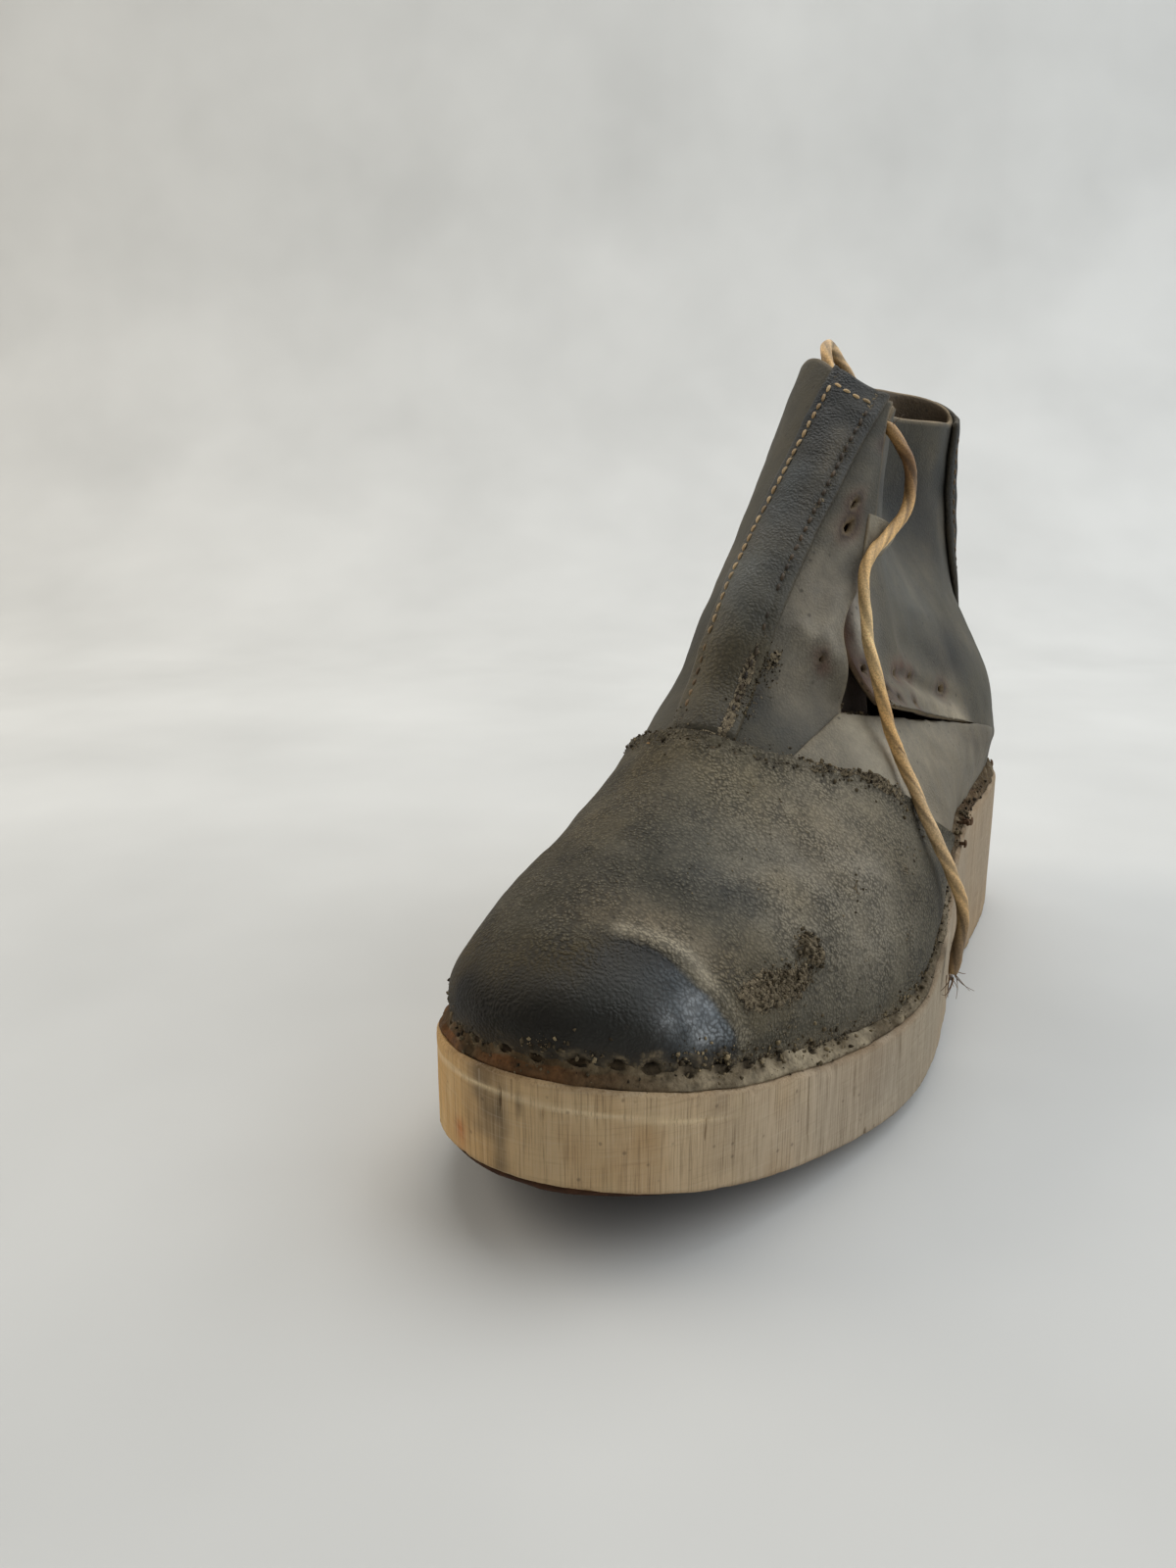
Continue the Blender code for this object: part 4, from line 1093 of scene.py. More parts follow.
# The wood's colour; height is each point's share of the wood's height there
def woodTint(points, around, height, depth):
    tint = paint(points, wood["tan"], [
        (24, 0.8, (206, 162, 96), [(-38, 275, 30), (-28, 284, 32)]),
        (22, 0.6, (206, 172, 120), (-4, 290, 28)),
        (26, 0.7, (206, 180, 142), [(8, 287, 27), (19, 277, 26), (30, 262, 22)]),
        (34, 0.75, (178, 165, 146), [(40, 236, 18), (49, 200, 16)]),
        (34, 0.75, (160, 148, 128), [(50, 176, 20), (47, 140, 30)]),
        (34, 0.75, (148, 136, 118), [(40, 100, 34), (38, 55, 34)]),
        (30, 0.7, (132, 116, 96), [(20, 4, 30), (-20, 4, 30)]),
        (40, 0.6, (152, 130, 98), [(-38, 60, 30), (-32, 120, 34)]),
        (40, 0.6, (160, 136, 100), [(-46, 180, 20), (-54, 225, 22)]),
    ], seed=31, broken=0.35)
    front = smooth(points[:, 1], 225, 275)
    honey = 0.55 * front * smooth(rough(points * (1, 1, 0.6), 11, 37), -0.1, 0.9)
    tint = overlay(tint, honey, (170, 130, 78))
    pale = 0.40 * front * smooth(rough(points * (1, 1, 0.5), 7, 38), 0.1, 0.9)
    tint = overlay(tint, pale, (226, 204, 160))
    shade = np.zeros(len(points))
    for at, lowShare, highShare, width, deep in woodCracks:
        crack = hump(around * perimeter, at * perimeter, width * 1.3)
        shade = np.maximum(shade, crack * checkEnds(height, lowShare, highShare) * min(deep, 1) * 0.7)
    tint = overlay(tint, shade, (70, 52, 34))
    for at, width, strength, colour, lowShare, highShare in woodStains:
        share = hump(around * perimeter, at * perimeter, width) * strength
        above = smooth(height, highShare - 0.1, highShare + 0.1) * (highShare < 1)
        share = share * smooth(height, lowShare - 0.1, lowShare + 0.1) * (1 - above)
        tint = overlay(tint, np.clip(share * (1 + 0.6 * lumps(points, 3, 35)), 0, 1), colour)
    edges = np.clip(1 - np.minimum(height, 1 - height) * 14, 0, 1)
    worn = np.clip(edges * (0.45 + 0.6 * rough(points, 6, 36)), 0, 0.7)
    tint = overlay(tint, worn, (120, 96, 66))
    scribed = hump((1 - height) * depth, scribedDepth(around), 0.55)
    scribed = scribed * smooth(around, 0.42, 0.45) * (1 - smooth(around, 0.545, 0.56)) * 0.85
    return overlay(tint, scribed, (226, 204, 164))


def makeWoodSole():
    places = mirroredPlaces(wood["around"], [(row[0], row[3]) for row in woodCracks])
    shares = (1 - np.cos(np.linspace(0, math.pi, wood["rows"]))) / 2
    shares = 0.5 * shares + 0.5 * np.linspace(0, 1, wood["rows"])
    layers = []
    for share in np.concatenate([[0], shares, [1]]):
        inset, z = woodInset(places, share)
        layers.append(raised(soleOutline(places, inset), z))
    inner = soleOutline(places, wood["edge"] + 0.6)
    for k, level in ((0, woodBottom), (-1, woodTop)):
        layers[k] = raised(inner, level(inner[:, 0]))
    points = np.concatenate(layers)
    count = len(places)
    faces = ringFaces(count, len(layers))
    faces += capFaces(count, 0, True) + capFaces(count, (len(layers) - 1) * count, False)
    bottom = woodBottom(points[:, 1])
    depth = woodTop(points[:, 1]) - bottom
    height = np.clip((points[:, 2] - bottom) / depth, 0, 1)
    tint = woodTint(points, np.tile(places, len(layers)), height, depth)
    finish = finishOf(points, 0.1, 0.25 + 0.35 * smooth(points[:, 0], 20, 50) * (height > 0.02))
    addPiece("woodSole", [form(points, faces, tint, finish)], woodFinish, ["wood_sole"], 55)


makeWoodSole()


# Leather tread under the forepart.
tread = {"from": 0.455, "rows": 110, "columns": 9, "tan": (74, 50, 36)}


def makeTread():
    start = tread["from"] * boot["length"]
    around = mirroredPlaces(480)
    inset = 2.4 + 2.0 * smooth(around, 0.56, 0.50) + 2.6 * smooth(around, 0.50, 0.45)
    edge = soleOutline(around, inset)
    edge = edge[edge[:, 0] > start]
    outerSide = edge[edge[:, 1] > soleRow.frontX]
    innerSide = edge[edge[:, 1] <= soleRow.frontX][::-1]
    rows, columns = tread["rows"], tread["columns"]
    end = edge[:, 0].max() - 0.6
    outer, inner = [], []
    for t in np.linspace(0, 1, rows):
        s = start + (end - start) * (1 - (1 - t) ** 1.6)
        left = np.interp(s, outerSide[:, 0], outerSide[:, 1])
        right = np.interp(s, innerSide[:, 0], innerSide[:, 1])
        x = left + (right - left) * (1 - np.cos(np.linspace(0, math.pi, columns))) / 2
        ragged = 0.5 * lumps(points3(x, s, 0), 5, 41)
        top = woodBottom(s) - boot["gap"]
        thick = boot["treadThick"] - 0.25 + 0.2 * ragged
        outer.append(points3(x + ragged * (np.abs(x) > 20), s, top - thick))
        inner.append(points3(x, s, top))
    outer, inner = np.concatenate(outer), np.concatenate(inner)
    tint = paint(outer, tread["tan"], [
        (16, 0.6, (104, 72, 48), (34, 252, 10)),
        (30, 0.5, (52, 38, 30), (0, 230, 6)),
        (24, 0.5, (96, 74, 54), (-30, 180, 3)),
    ], seed=43)
    closed = thickForm(gridCells(rows, columns), outer, inner, tint, finishOf(outer, 0, 0.4))
    addPiece("soleTread", [closed], treadFinish, ["sole_tread"])


makeTread()


# The inner sole: rings of height and distance in from its edge.
insole = {"around": 300, "edge": 0.8, "rings": [(0.0, 0.0), (0.8, -0.15), (1.9, 0.0), (2.4, 0.9)],
          "tan": (92, 74, 56)}


def makeInsole():
    places = mirroredPlaces(insole["around"])
    layers = []
    for lift, inset in insole["rings"]:
        near = soleOutline(places, boot["ledge"] + boot["wall"] + insole["edge"] + inset)
        layers.append(raised(near, woodTop(near[:, 0]) + boot["gap"] + lift))
    points = np.concatenate(layers)
    count = len(places)
    faces = ringFaces(count, len(layers)) + capFaces(count, 0, True) + capFaces(count, 3 * count, False)
    tint = paint(points, insole["tan"], [
        (22, 0.6, (60, 48, 38), (0, 40, 54)),
        (26, 0.6, (58, 46, 36), (0, 210, 32)),
    ], 45)
    addPiece("innerSole", [form(points, faces, tint, finishOf(points, 0.1, 0.5))], insoleFinish,
             ["insole"], 50)


makeInsole()


# Colours of the upper: reach in mm, strength, colour, and where.
upperStrokes = [
    # front panel beside the strip
    (16, 0.8, (78, 76, 67), [(12, 153, 139), (9, 168, 125)]),
    (12, 0.8, (98, 94, 84), [(16.6, 156, 123), (14, 140, 138)]),
    # painted highlights along the crests of two crease ridges
    (4, 0.6, (122, 114, 98), [(13, 131, 165), (11, 146, 150), (8, 165, 134), (5, 175, 125)]),
    (4, 0.55, (126, 118, 102), [(10, 172, 119), (13.6, 167, 115), (17, 164, 106)]),
    (12, 0.8, (138, 132, 119), [(8, 177, 108), (14, 172, 108), (22, 172, 96)]),
    (12, 0.8, (136, 130, 118), [(10, 168, 125), (16, 158, 122)]),
    (8, 0.7, (158, 150, 134), (13, 166, 118)),
    # painted light, lifting the lace's shadow by the panel's edge
    (6, 0.9, (186, 180, 166), [(16.6, 155.9, 123.6), (17.6, 158, 117)]),
    (3.6, 0.8, (156, 148, 132), [(11.2, 168, 122), (9.1, 172.8, 117.4)]),
    (2.4, 0.6, (136, 130, 116), [(11.2, 159, 134), (13.5, 150, 141)]),
    (4, 0.6, (58, 55, 46), [(3.6, 183, 108), (4, 187, 102)]),
    (9, 0.8, (138, 130, 114), [(9, 178, 106), (14, 175, 101)]),
    (6, 0.5, (70, 73, 73), [(9.8, 188, 94), (13, 184, 92)]),
    (4, 0.5, (48, 50, 49), [(3, 190, 102), (5, 185, 111)]),
    (2.6, 0.75, (72, 52, 40), [(19, 160, 117), (22, 160, 107), (26, 164, 101)]),
    (5, 0.4, (70, 72, 70), [(12, 178, 100), (20, 174, 92)]),
    (5, 0.5, (126, 118, 104), [(14, 160, 130), (10, 170, 126)]),
    # painted shade in a crease's trough
    (5, 0.4, (62, 58, 50), [(17, 170, 98), (14, 172, 108)]),
    # rear outer quarter; its darkest strokes are painted shade in the caved-in hollow and behind the slit
    (20, 0.9, (40, 42, 41), [(8, 29, 151), (5, 57, 150), (8, 90, 155)]),
    (16, 0.75, (84, 84, 78), [(14, 116, 136), (17, 83, 116)]),
    (14, 0.75, (66, 64, 57), [(24, 74, 102), (25, 95, 100)]),
    (8, 0.6, (34, 33, 31), [(25, 70, 98), (27, 84, 96)]),
    (9, 0.7, (30, 29, 28), (10, 45, 131)),
    (12, 0.7, (46, 46, 44), [(12, 110, 150), (12, 118, 160)]),
    (4, 0.6, (104, 98, 86), [(16, 138, 132), (18, 140, 122), (21, 146, 108)]),
    (7, 0.8, (112, 104, 88), [(22, 144, 98), (24, 110, 95), (29, 78, 86)]),
    # lower outer piece
    (20, 0.85, (108, 100, 84), [(30, 136, 83), (34, 118, 74), (30, 160, 86)]),
    (16, 0.6, (88, 80, 64), [(36, 90, 66), (36, 60, 62)]),
    # back and inner side
    (22, 0.6, (52, 52, 48), [(0, 20, 150), (2, 10, 100)]),
    (26, 0.6, (70, 64, 50), [(-28, 120, 130), (-30, 80, 100)]),
    (22, 0.7, (50, 46, 34), [(-22, 170, 115), (-26, 155, 95)]),
    (18, 0.6, (46, 47, 47), [(-25, 110, 172), (-26, 70, 168)]),
    (9, 0.8, (96, 82, 60), [(-27, 84, 148), (-27, 78, 140)]),
    (20, 0.6, (62, 54, 40), [(-30, 100, 70), (-32, 60, 66)]),
    (2.6, 0.9, (96, 58, 36), (11.6, 146, 149.5)),
    (2.6, 0.9, (92, 56, 36), (11.9, 149, 144.5)),
    (2.2, 0.8, (98, 68, 56), [(12.0, 170.6, 113), (13.4, 169, 109)]),
    (3.0, 0.8, (84, 56, 42), [(21.6, 158, 107.5), (25.5, 148.7, 100.7)]),
    (3.4, 0.7, (92, 60, 46), [(22.8, 133, 102.4), (22.7, 126.6, 103), (23.1, 116, 99)]),
    (2.6, 0.7, (70, 52, 40), (28, 126.7, 93.1)),
    (2.8, 0.7, (74, 58, 48), (26.3, 87.7, 90.8)),
    # the pale lip of the rear quarter, its ragged upper line and the holes above it
    (5, 0.8, (138, 128, 108), [(24.2, 119, 94), (28.3, 101.7, 88.7)]),
    (5, 0.85, (156, 146, 126), [(29.5, 96, 86), (31, 84.7, 81.8), (33, 76, 78)]),
    (1.5, 0.6, (58, 52, 44), [(22.5, 131, 102.5), (23.5, 112, 99.5), (26.5, 98, 92.5), (29.5, 86, 86)]),
]


def upperGrid():
    rear = np.linspace(0, boot["crackU"], 46, endpoint=False)
    side = np.linspace(boot["crackU"], boot["slitU"], 124, endpoint=False)
    front = np.linspace(boot["slitU"], 1 - boot["slitU"], 76, endpoint=False)
    inner = np.linspace(1 - boot["slitU"], 1, 96, endpoint=False)
    low = np.linspace(0, boot["crackV"], 34, endpoint=False)
    high = np.linspace(boot["crackV"], 1, 94)
    return np.concatenate([rear, side, front, inner]), np.concatenate([low, high])


# Holes where nails and stitches were: place (u, v) and half sizes in mm round and up the boot.
holes = [
    (0.4455, 0.822, 1.2, 2.2), (0.440, 0.786, 1.9, 2.5), (0.430, 0.577, 0.8, 1.3), (0.396, 0.569, 1.5, 1.5),
    (0.370, 0.542, 1.9, 1.6), (0.355, 0.530, 1.6, 1.2), (0.316, 0.525, 1.9, 1.5), (0.337, 0.572, 1.8, 1.4),
    (0.296, 0.574, 1.9, 1.2), (0.228, 0.564, 2.2, 1.5), (0.4375, 0.930, 1.2, 1.6), (0.920, 0.900, 1.4, 1.4),
]


# Cells inside a hole are dropped, and the corners round it are moved onto its rim.
def cutHoles(cells, u, v):
    u, v = u.copy(), v.copy()
    nearest = np.full(len(u), 99.0)
    for holeU, holeV, wide, high in holes:
        here = basePoint(holeU, holeV)
        acrossU = np.linalg.norm(basePoint(holeU + 0.004, holeV) - here) / 0.004
        acrossV = np.linalg.norm(basePoint(holeU, holeV + 0.008) - here) / 0.008
        far = np.hypot((u - holeU) * acrossU / wide, (v - holeV) * acrossV / high)
        nearest = np.minimum(nearest, far)
        middle = np.array([far[ring].mean() if far[ring].min() < 3 else 9 for ring in cells])
        dropped = middle < 1.1
        rim = {i for ring, gone in zip(cells, dropped) if gone for i in ring}
        kept = {i for ring, gone in zip(cells, dropped) if not gone for i in ring}
        for i in rim & kept:
            scale = (1 + 0.14 * math.sin(5 * i)) / max(far[i], 0.2)
            u[i] = holeU + (u[i] - holeU) * scale
            v[i] = holeV + (v[i] - holeV) * scale
        cells = [ring for ring, gone in zip(cells, dropped) if not gone]
    return cells, u, v, nearest


# reach in mm, strength and the line of each patch of mud on the upper
shellMud = [
    (3.0, 0.65, [(2, 194, 99), (4, 188, 106), (5, 183, 112)]),
    (2.2, 0.8, [(4.5, 184, 111), (5.5, 181, 114)]),
    (2.4, 0.5, [(-15, 199, 97), (-14, 190, 108)]),
    (7.0, 0.75, [(-27, 84, 149), (-27, 78, 141)]),
    (5.0, 0.45, [(22, 166, 97), (24, 158, 95)]),
    (5.0, 0.5, [(44, 100, 56), (40, 60, 55)]),
]


# Adds patches to the mud at each point
def addPatches(mud, points, patches):
    for reach, strength, line in patches:
        mud = mud + strength * hump(lineDistance(points, line)[0], 0, reach)
    return mud


def makeUpper():
    us, vs = upperGrid()
    columns, rows = len(us), len(vs)
    crackRow = int(np.argmin(np.abs(vs - boot["crackV"])))
    slit = int(np.argmin(np.abs(us - boot["slitU"])))
    tip = int(np.argmin(np.abs(us - boot["crackU"])))
    keys = {}
    cells = []

    def number(j, i, rearCell):
        onSlit = i == slit and j >= crackRow
        onCrack = j == crackRow and tip < i <= slit
        key = (j, i, rearCell and (onSlit or onCrack))
        return keys.setdefault(key, len(keys))

    for j in range(rows - 1):
        for i in range(columns):
            rearCell = tip <= i < slit and j >= crackRow
            k = (i + 1) % columns
            cells.append([number(*corner, rearCell) for corner in ((j, i), (j, k), (j + 1, k), (j + 1, i))])
    order = np.array([(j, i, rear) for j, i, rear in keys])
    j, i, split = order[:, 0], order[:, 1], order[:, 2].astype(bool)
    v = vs[j].copy()
    u = us[i] + (slitU(v) - boot["slitU"]) * hump(us[i], boot["slitU"], 0.05)
    rear = split | ((i > tip) & (i < slit) & (j > crackRow))
    front = ~rear & (i >= slit) & (j >= crackRow) & (us[i] < 0.62)
    u = np.where(rear, u - slitGap(v) / girth(v) * np.exp(-(boot["slitU"] - us[i]) / 0.06), u)
    v = np.where(split & (j == crackRow), v + 0.010, v)
    cells, u, v, toHole = cutHoles(cells, u, v)
    outer = np.zeros((len(order), 3))
    inner = np.zeros((len(order), 3))
    for chosen, part in ((rear, "rear"), (front, "front"), (~rear & ~front, "body")):
        outer[chosen] = upperPoint(u[chosen], v[chosen], 0.0, part)
        inner[chosen] = upperPoint(u[chosen], v[chosen], -boot["wall"], part)
    tint = paint(outer, boot["tan"], upperStrokes, seed=51)
    tint = overlay(tint, 0.40 * smooth(rough(outer, 26, 56, 4), -0.3, 0.9), (62, 66, 66))
    tint = overlay(tint, 0.26 * smooth(rough(outer, 19, 47, 4), -0.2, 0.9), (124, 114, 94))
    # a reddish-brown ring round each hole, and painted shade darkening its rim
    for reach, strength, colour in ((2.7, 0.45, (94, 64, 52)), (1.75, 0.95, (26, 19, 15))):
        tint = overlay(tint, strength * np.exp(-(toHole / reach) ** 4), colour)
    # bare leather along the slit's rear edge
    bare = rear * hump((boot["slitU"] - us[i]) * girth(v), 0, 2.4) * smooth(v, 0.72, 0.62)
    tint = overlay(tint, bare, (76, 50, 38))
    mud = addPatches(np.zeros(len(outer)), outer, shellMud)
    mud = mud + 0.75 * hump(vampKeep(u, v), -0.6, 1.6) * (v > 0.2)
    mud = np.clip(mud * (0.85 + 0.8 * rough(outer, 6, 55)), 0, 1)
    finish = finishOf(outer, 0.15, 0.5, mud)
    addSkin(outer, baseNormal(u, v))
    shell = thickForm(cells, outer, inner, tint, finish, lining=(86, 72, 54), cutEdge=(156, 136, 104))
    addPiece("upperShell", [shell], quarterFinish, ["upper"])


makeUpper()

vampStrokes = [
    (16, 0.8, (72, 72, 66), (3, 231, 77)),
    (16, 0.8, (63, 62, 53), (-3, 249, 72)),
    (15, 0.8, (108, 105, 94), (15, 225, 72)),
    (13, 0.85, (136, 129, 113), (26, 227, 63)),
    (20, 0.9, (164, 156, 140), (30, 199, 72)),
    (14, 0.75, (138, 131, 116), (39, 207, 54)),
    (13, 0.9, (126, 118, 98), (4, 208, 86)),
    (12, 0.7, (122, 114, 96), [(20, 196, 79), (32, 186, 74)]),
    (10, 0.6, (76, 68, 50), (41, 184, 61)),
    (8, 0.6, (50, 51, 49), (45, 165, 52)),
    (22, 0.8, (56, 50, 36), [(-28, 245, 66), (-38, 225, 56), (-46, 200, 50)]),
    (18, 0.6, (66, 59, 44), [(-24, 215, 78), (-34, 190, 74)]),
    (6, 0.7, (120, 110, 92), [(6, 257, 68), (14, 255, 64), (20, 252, 58)]),
    (8, 0.5, (104, 92, 72), (-2, 262, 70)),
    (7, 0.5, (86, 77, 56), [(-12, 225, 80), (-16, 236, 75), (-14, 214, 85)]),
    (6, 0.5, (60, 64, 66), [(12, 238, 71), (20, 234, 68)]),
]
# the dark toe: brown scuffs above and to the inner side, a painted highlight with a cool painted sheen round
# it by its outer edge, and painted shade low on its inner front
toeStrokes = [
    (9, 0.85, (82, 70, 38), [(-19, 272, 62), (-4, 271, 62)]),
    (10, 0.9, (86, 69, 26), [(-33, 270, 54), (-26, 277, 56), (-38, 262, 52)]),
    (8, 0.7, (46, 47, 43), [(8, 278, 54), (12, 272, 56)]),
    (6, 0.6, (48, 41, 26), [(-20, 278, 56), (-8, 279, 57)]),
    # painted highlight by the toe's outer edge, with a cool painted sheen round it
    (4.4, 1.0, (236, 242, 247), [(17.6, 266, 54), (21.2, 262.8, 50.4)]),
    (3.2, 0.9, (158, 168, 176), [(21, 262, 51), (24.5, 258.6, 48.5)]),
    (7, 0.7, (68, 75, 80), [(15, 266, 57), (19, 266, 50)]),
    (9, 0.7, (56, 57, 53), [(5, 277, 54), (9, 273, 56)]),
    # painted shade low on the toe's inner front
    (16, 0.8, (8, 8, 6), [(-20, 285, 50), (-8, 286, 50)]),
    (7, 0.5, (44, 38, 27), [(-20, 284, 48), (0, 287, 46), (14, 277, 44)]),
]
ridgeLine = [(3, 262.6, 65.8), (9, 259.2, 63.5), (14.6, 257.4, 61), (19.6, 257.9, 56.6), (23.8, 257, 51.4),
             (26.4, 255, 45)]


# How far ahead of the stiffened toe's edge a point lies: positive over the toe.
def toeAhead(points):
    x, s = points[..., 0], points[..., 1]
    edge = np.interp(x, [-46, -34, -22, -14, -6, 2.3, 8.8, 13.5, 18.6, 23.3, 26.2, 32, 44],
                     [236, 258, 268, 271, 269.5, 265, 262, 260.9, 260.3, 258.6, 256, 250, 240])
    return s - edge


# Nail places round the toe and the size of each dent.
toeNails = [(0.541, 0.5), (0.5285, 0.6), (0.517, 0.5), (0.503, 0.75), (0.4915, 0.6), (0.478, 0.95),
            (0.4660, 0.85), (0.4550, 1.0), (0.4425, 0.9), (0.4290, 1.0), (0.4180, 0.6), (0.402, 0.55),
            (0.385, 0.5), (0.366, 0.45)]


# Distance round the foot from a nail's place, in units of its dent
def fromNail(u, at, size):
    return (u - at) * perimeter / (2.3 * size)


# The upper halves of the dents that the toe nails left, and their crumbly rims.
def footPits(u, v, point):
    pit, rim = np.zeros(len(u)), np.zeros(len(u))
    for at, size in toeNails:
        away = np.hypot(fromNail(u, at, size), (v - 0.034) / (0.0165 * size))
        away = away * (1 + 0.35 * lumps(point, 1.7, 58))
        pit = np.maximum(pit, np.exp(-away ** 4))
        rim = np.maximum(rim, hump(away, 1.35, 0.3))
    return pit, rim


# Where dried mud lies on the vamp, 0 to 1.
def vampMud(point, u, v, inside):
    lines = 0.66 * hump(inside, 0.3, 0.9) + 0.60 * hump(inside, 6.2, 0.8)
    clods = 1.15 * hump(inside, 3.4, 3.0) * hump(point[:, 0], 26, 11) * (u < frontU)
    mud = addPatches((lines + clods) * (v > 0.1), point, mudPatches)
    mud = mud + 0.60 * smooth(v, 0.055, 0.030) * smooth(u, 0.47, 0.40)
    return np.clip(mud * (0.85 + 0.7 * rough(point, 8, 74)), 0, 1)


# reach in mm, strength and the line of each patch of mud
mudPatches = [
    (2.4, 0.95, [(25.6, 251.7, 51.4), (27.7, 245.8, 51.6)]),
    (3.3, 0.95, [(27.7, 245.8, 50.9), (30.2, 239, 50.9), (32, 234, 50.6)]),
    (3.4, 1.7, [(31.0, 229.4, 56), (31.8, 227.8, 55.6)]),
    (5.0, 0.35, [(24, 250, 54), (30, 240, 50)]),
    (7.0, 0.25, [(34, 226, 52), (38, 214, 48)]),
    (3.0, 0.6, [(35, 205, 63)]),
    (2.4, 0.6, [(41, 184, 61)]),
    (6.0, 0.35, [(44, 190, 46), (40, 215, 42)]),
]


vamp = {"thick": 1.75, "mudHeight": 0.8, "nailDent": 0.9, "nailRim": 0.4, "tan": (78, 74, 62),
        "toe": (10, 10, 8)}


# The vamp's colour and gloss; toe is 1 over the stiffened toe, ahead the distance past its edge.
def vampTint(point, outer, u, v, inside, toe, ahead, pit, rim):
    tint = paint(outer, vamp["tan"], vampStrokes, seed=65, broken=0.35)
    gloom = (toe * (0.95 + 0.15 * rough(point, 16, 66)))[:, None].clip(0, 1)
    tint = tint * (1 - gloom) + paint(outer, vamp["toe"], toeStrokes, seed=66, broken=0.9) * gloom
    # a dusty foot, paler on the outer side
    low = (smooth(v, 0.075, 0.03) * 0.5 * (1 + 0.8 * rough(point, 7, 68)))[:, None].clip(0, 1)
    foot = linear((70, 58, 40)) + linear((86, 80, 68)) * smooth(u, 0.44, 0.40)[:, None]
    tint = tint * (1 - low) + foot * low
    # pale crumbly rims round the nail dents, and painted shade inside them
    crumbly = 1 + 0.8 * rough(point, 2.4, 59)
    tint = overlay(tint, (rim * 0.6 * crumbly).clip(0, 1), (124, 110, 86))
    tint = overlay(tint, (pit * 0.62 * crumbly).clip(0, 0.9), (46, 38, 27))
    # pale dust along the ridge, wider behind it
    away, _ = lineDistance(outer, ridgeLine)
    behind = np.where(ahead > 0.3, 0.9, 2.3)
    dusty = np.clip(hump(away, 0, behind) * (1 + 0.5 * rough(outer, 5, 69)), 0, 1)
    dusty = dusty * (0.55 + 0.45 * smooth(outer[:, 0], 4, 12))
    tint = overlay(tint, dusty, (192, 182, 160))
    patch = smooth(lumps(point, 22, 70) + 0.5 * lumps(point, 8, 71), 0.1, 0.8) * 0.34 * (1 - gloom[:, 0])
    tint = overlay(tint, patch, (100, 88, 62))
    lines = hump(inside, 0.5, 0.8) + hump(inside, 6.4, 0.7)
    seamDark = (0.6 * lines * (v > 0.1) * (1 + 0.8 * rough(point, 3, 64))).clip(0, 0.85)
    gloss = 0.15 + 0.8 * toe * (1 - dusty) * (0.25 + 0.75 * smooth(point[:, 0], -16, 8))
    return overlay(tint, seamDark, (48, 40, 28)), gloss


def makeVamp():
    us = np.linspace(0.17, 0.83, 400)
    vs = np.concatenate([np.linspace(0.012, 0.10, 22), np.linspace(0.10, 0.52, 104)[1:]])

    def keep(u, v):
        point = basePoint(u, v)
        return vampKeep(u, v) + 0.7 * lumps(point, 5, 61) + 0.3 * lumps(point, 1.8, 62)

    places, cells = cutGrid(us, vs, keep)
    u, v = places[:, 0], places[:, 1]
    point = basePoint(u, v)
    inside = keep(u, v)
    ahead = toeAhead(point)
    soften = 0.7 + 12 * smooth(point[:, 0], 6, -16)
    toe = smooth(ahead + (0.4 + 0.3 * soften) * rough(point, 9, 60), -0.35 * soften, 1.0 * soften)
    thick = (vamp["thick"] - 0.5 * np.exp(-np.maximum(inside, 0) / 0.7)) * smooth(v, 0.010, 0.034)
    seam = 0.6 * hump(inside, 2.0, 1.0) - 0.4 * hump(inside, 3.9, 1.0) - 0.9 * hump(inside, 6.3, 0.7)
    seam = (seam + 0.6 * hump(inside, 7.6, 0.9)) * (1 + 0.5 * rough(point, 6, 67))
    mud = vampMud(point, u, v, inside)
    piled = 1.4 * hump(point[:, 1], 227.4, 4) * hump(point[:, 2], 54.6, 3.6) * (point[:, 0] > 20)
    piled = piled + 1.0 * hump(inside, 3.4, 3.0) * hump(point[:, 0], 26, 12) * (u < frontU)
    clotted = (1 + 0.9 * lumps(point, 1.6, 72) + 0.5 * lumps(point, 3.4, 73)).clip(0, 2)
    pit, rim = footPits(u, v, point)
    lifted = (vamp["mudHeight"] + piled) * mud * clotted - vamp["nailDent"] * pit + vamp["nailRim"] * rim
    outer = upperPoint(u, v, thick + seam * (v > 0.05) + 0.35 * lumps(point, 24, 63) * (1 - toe) + lifted)
    addSkin(outer, baseNormal(u, v))
    inner = upperPoint(u, v, 0.1)
    tint, gloss = vampTint(point, outer, u, v, inside, toe, ahead, pit, rim)
    dust = 0.62 * (1 - toe) + (0.02 + 0.08 * smooth(point[:, 2], 56, 64)) * toe
    addPiece("vamp", [thickForm(cells, outer, inner, tint, finishOf(outer, gloss, dust, mud))], vampFinish)


makeVamp()


# The lower outer piece, lying on the quarter below its lifted edge.
lowerPiece = {"thick": 1.15, "tan": (132, 125, 110)}


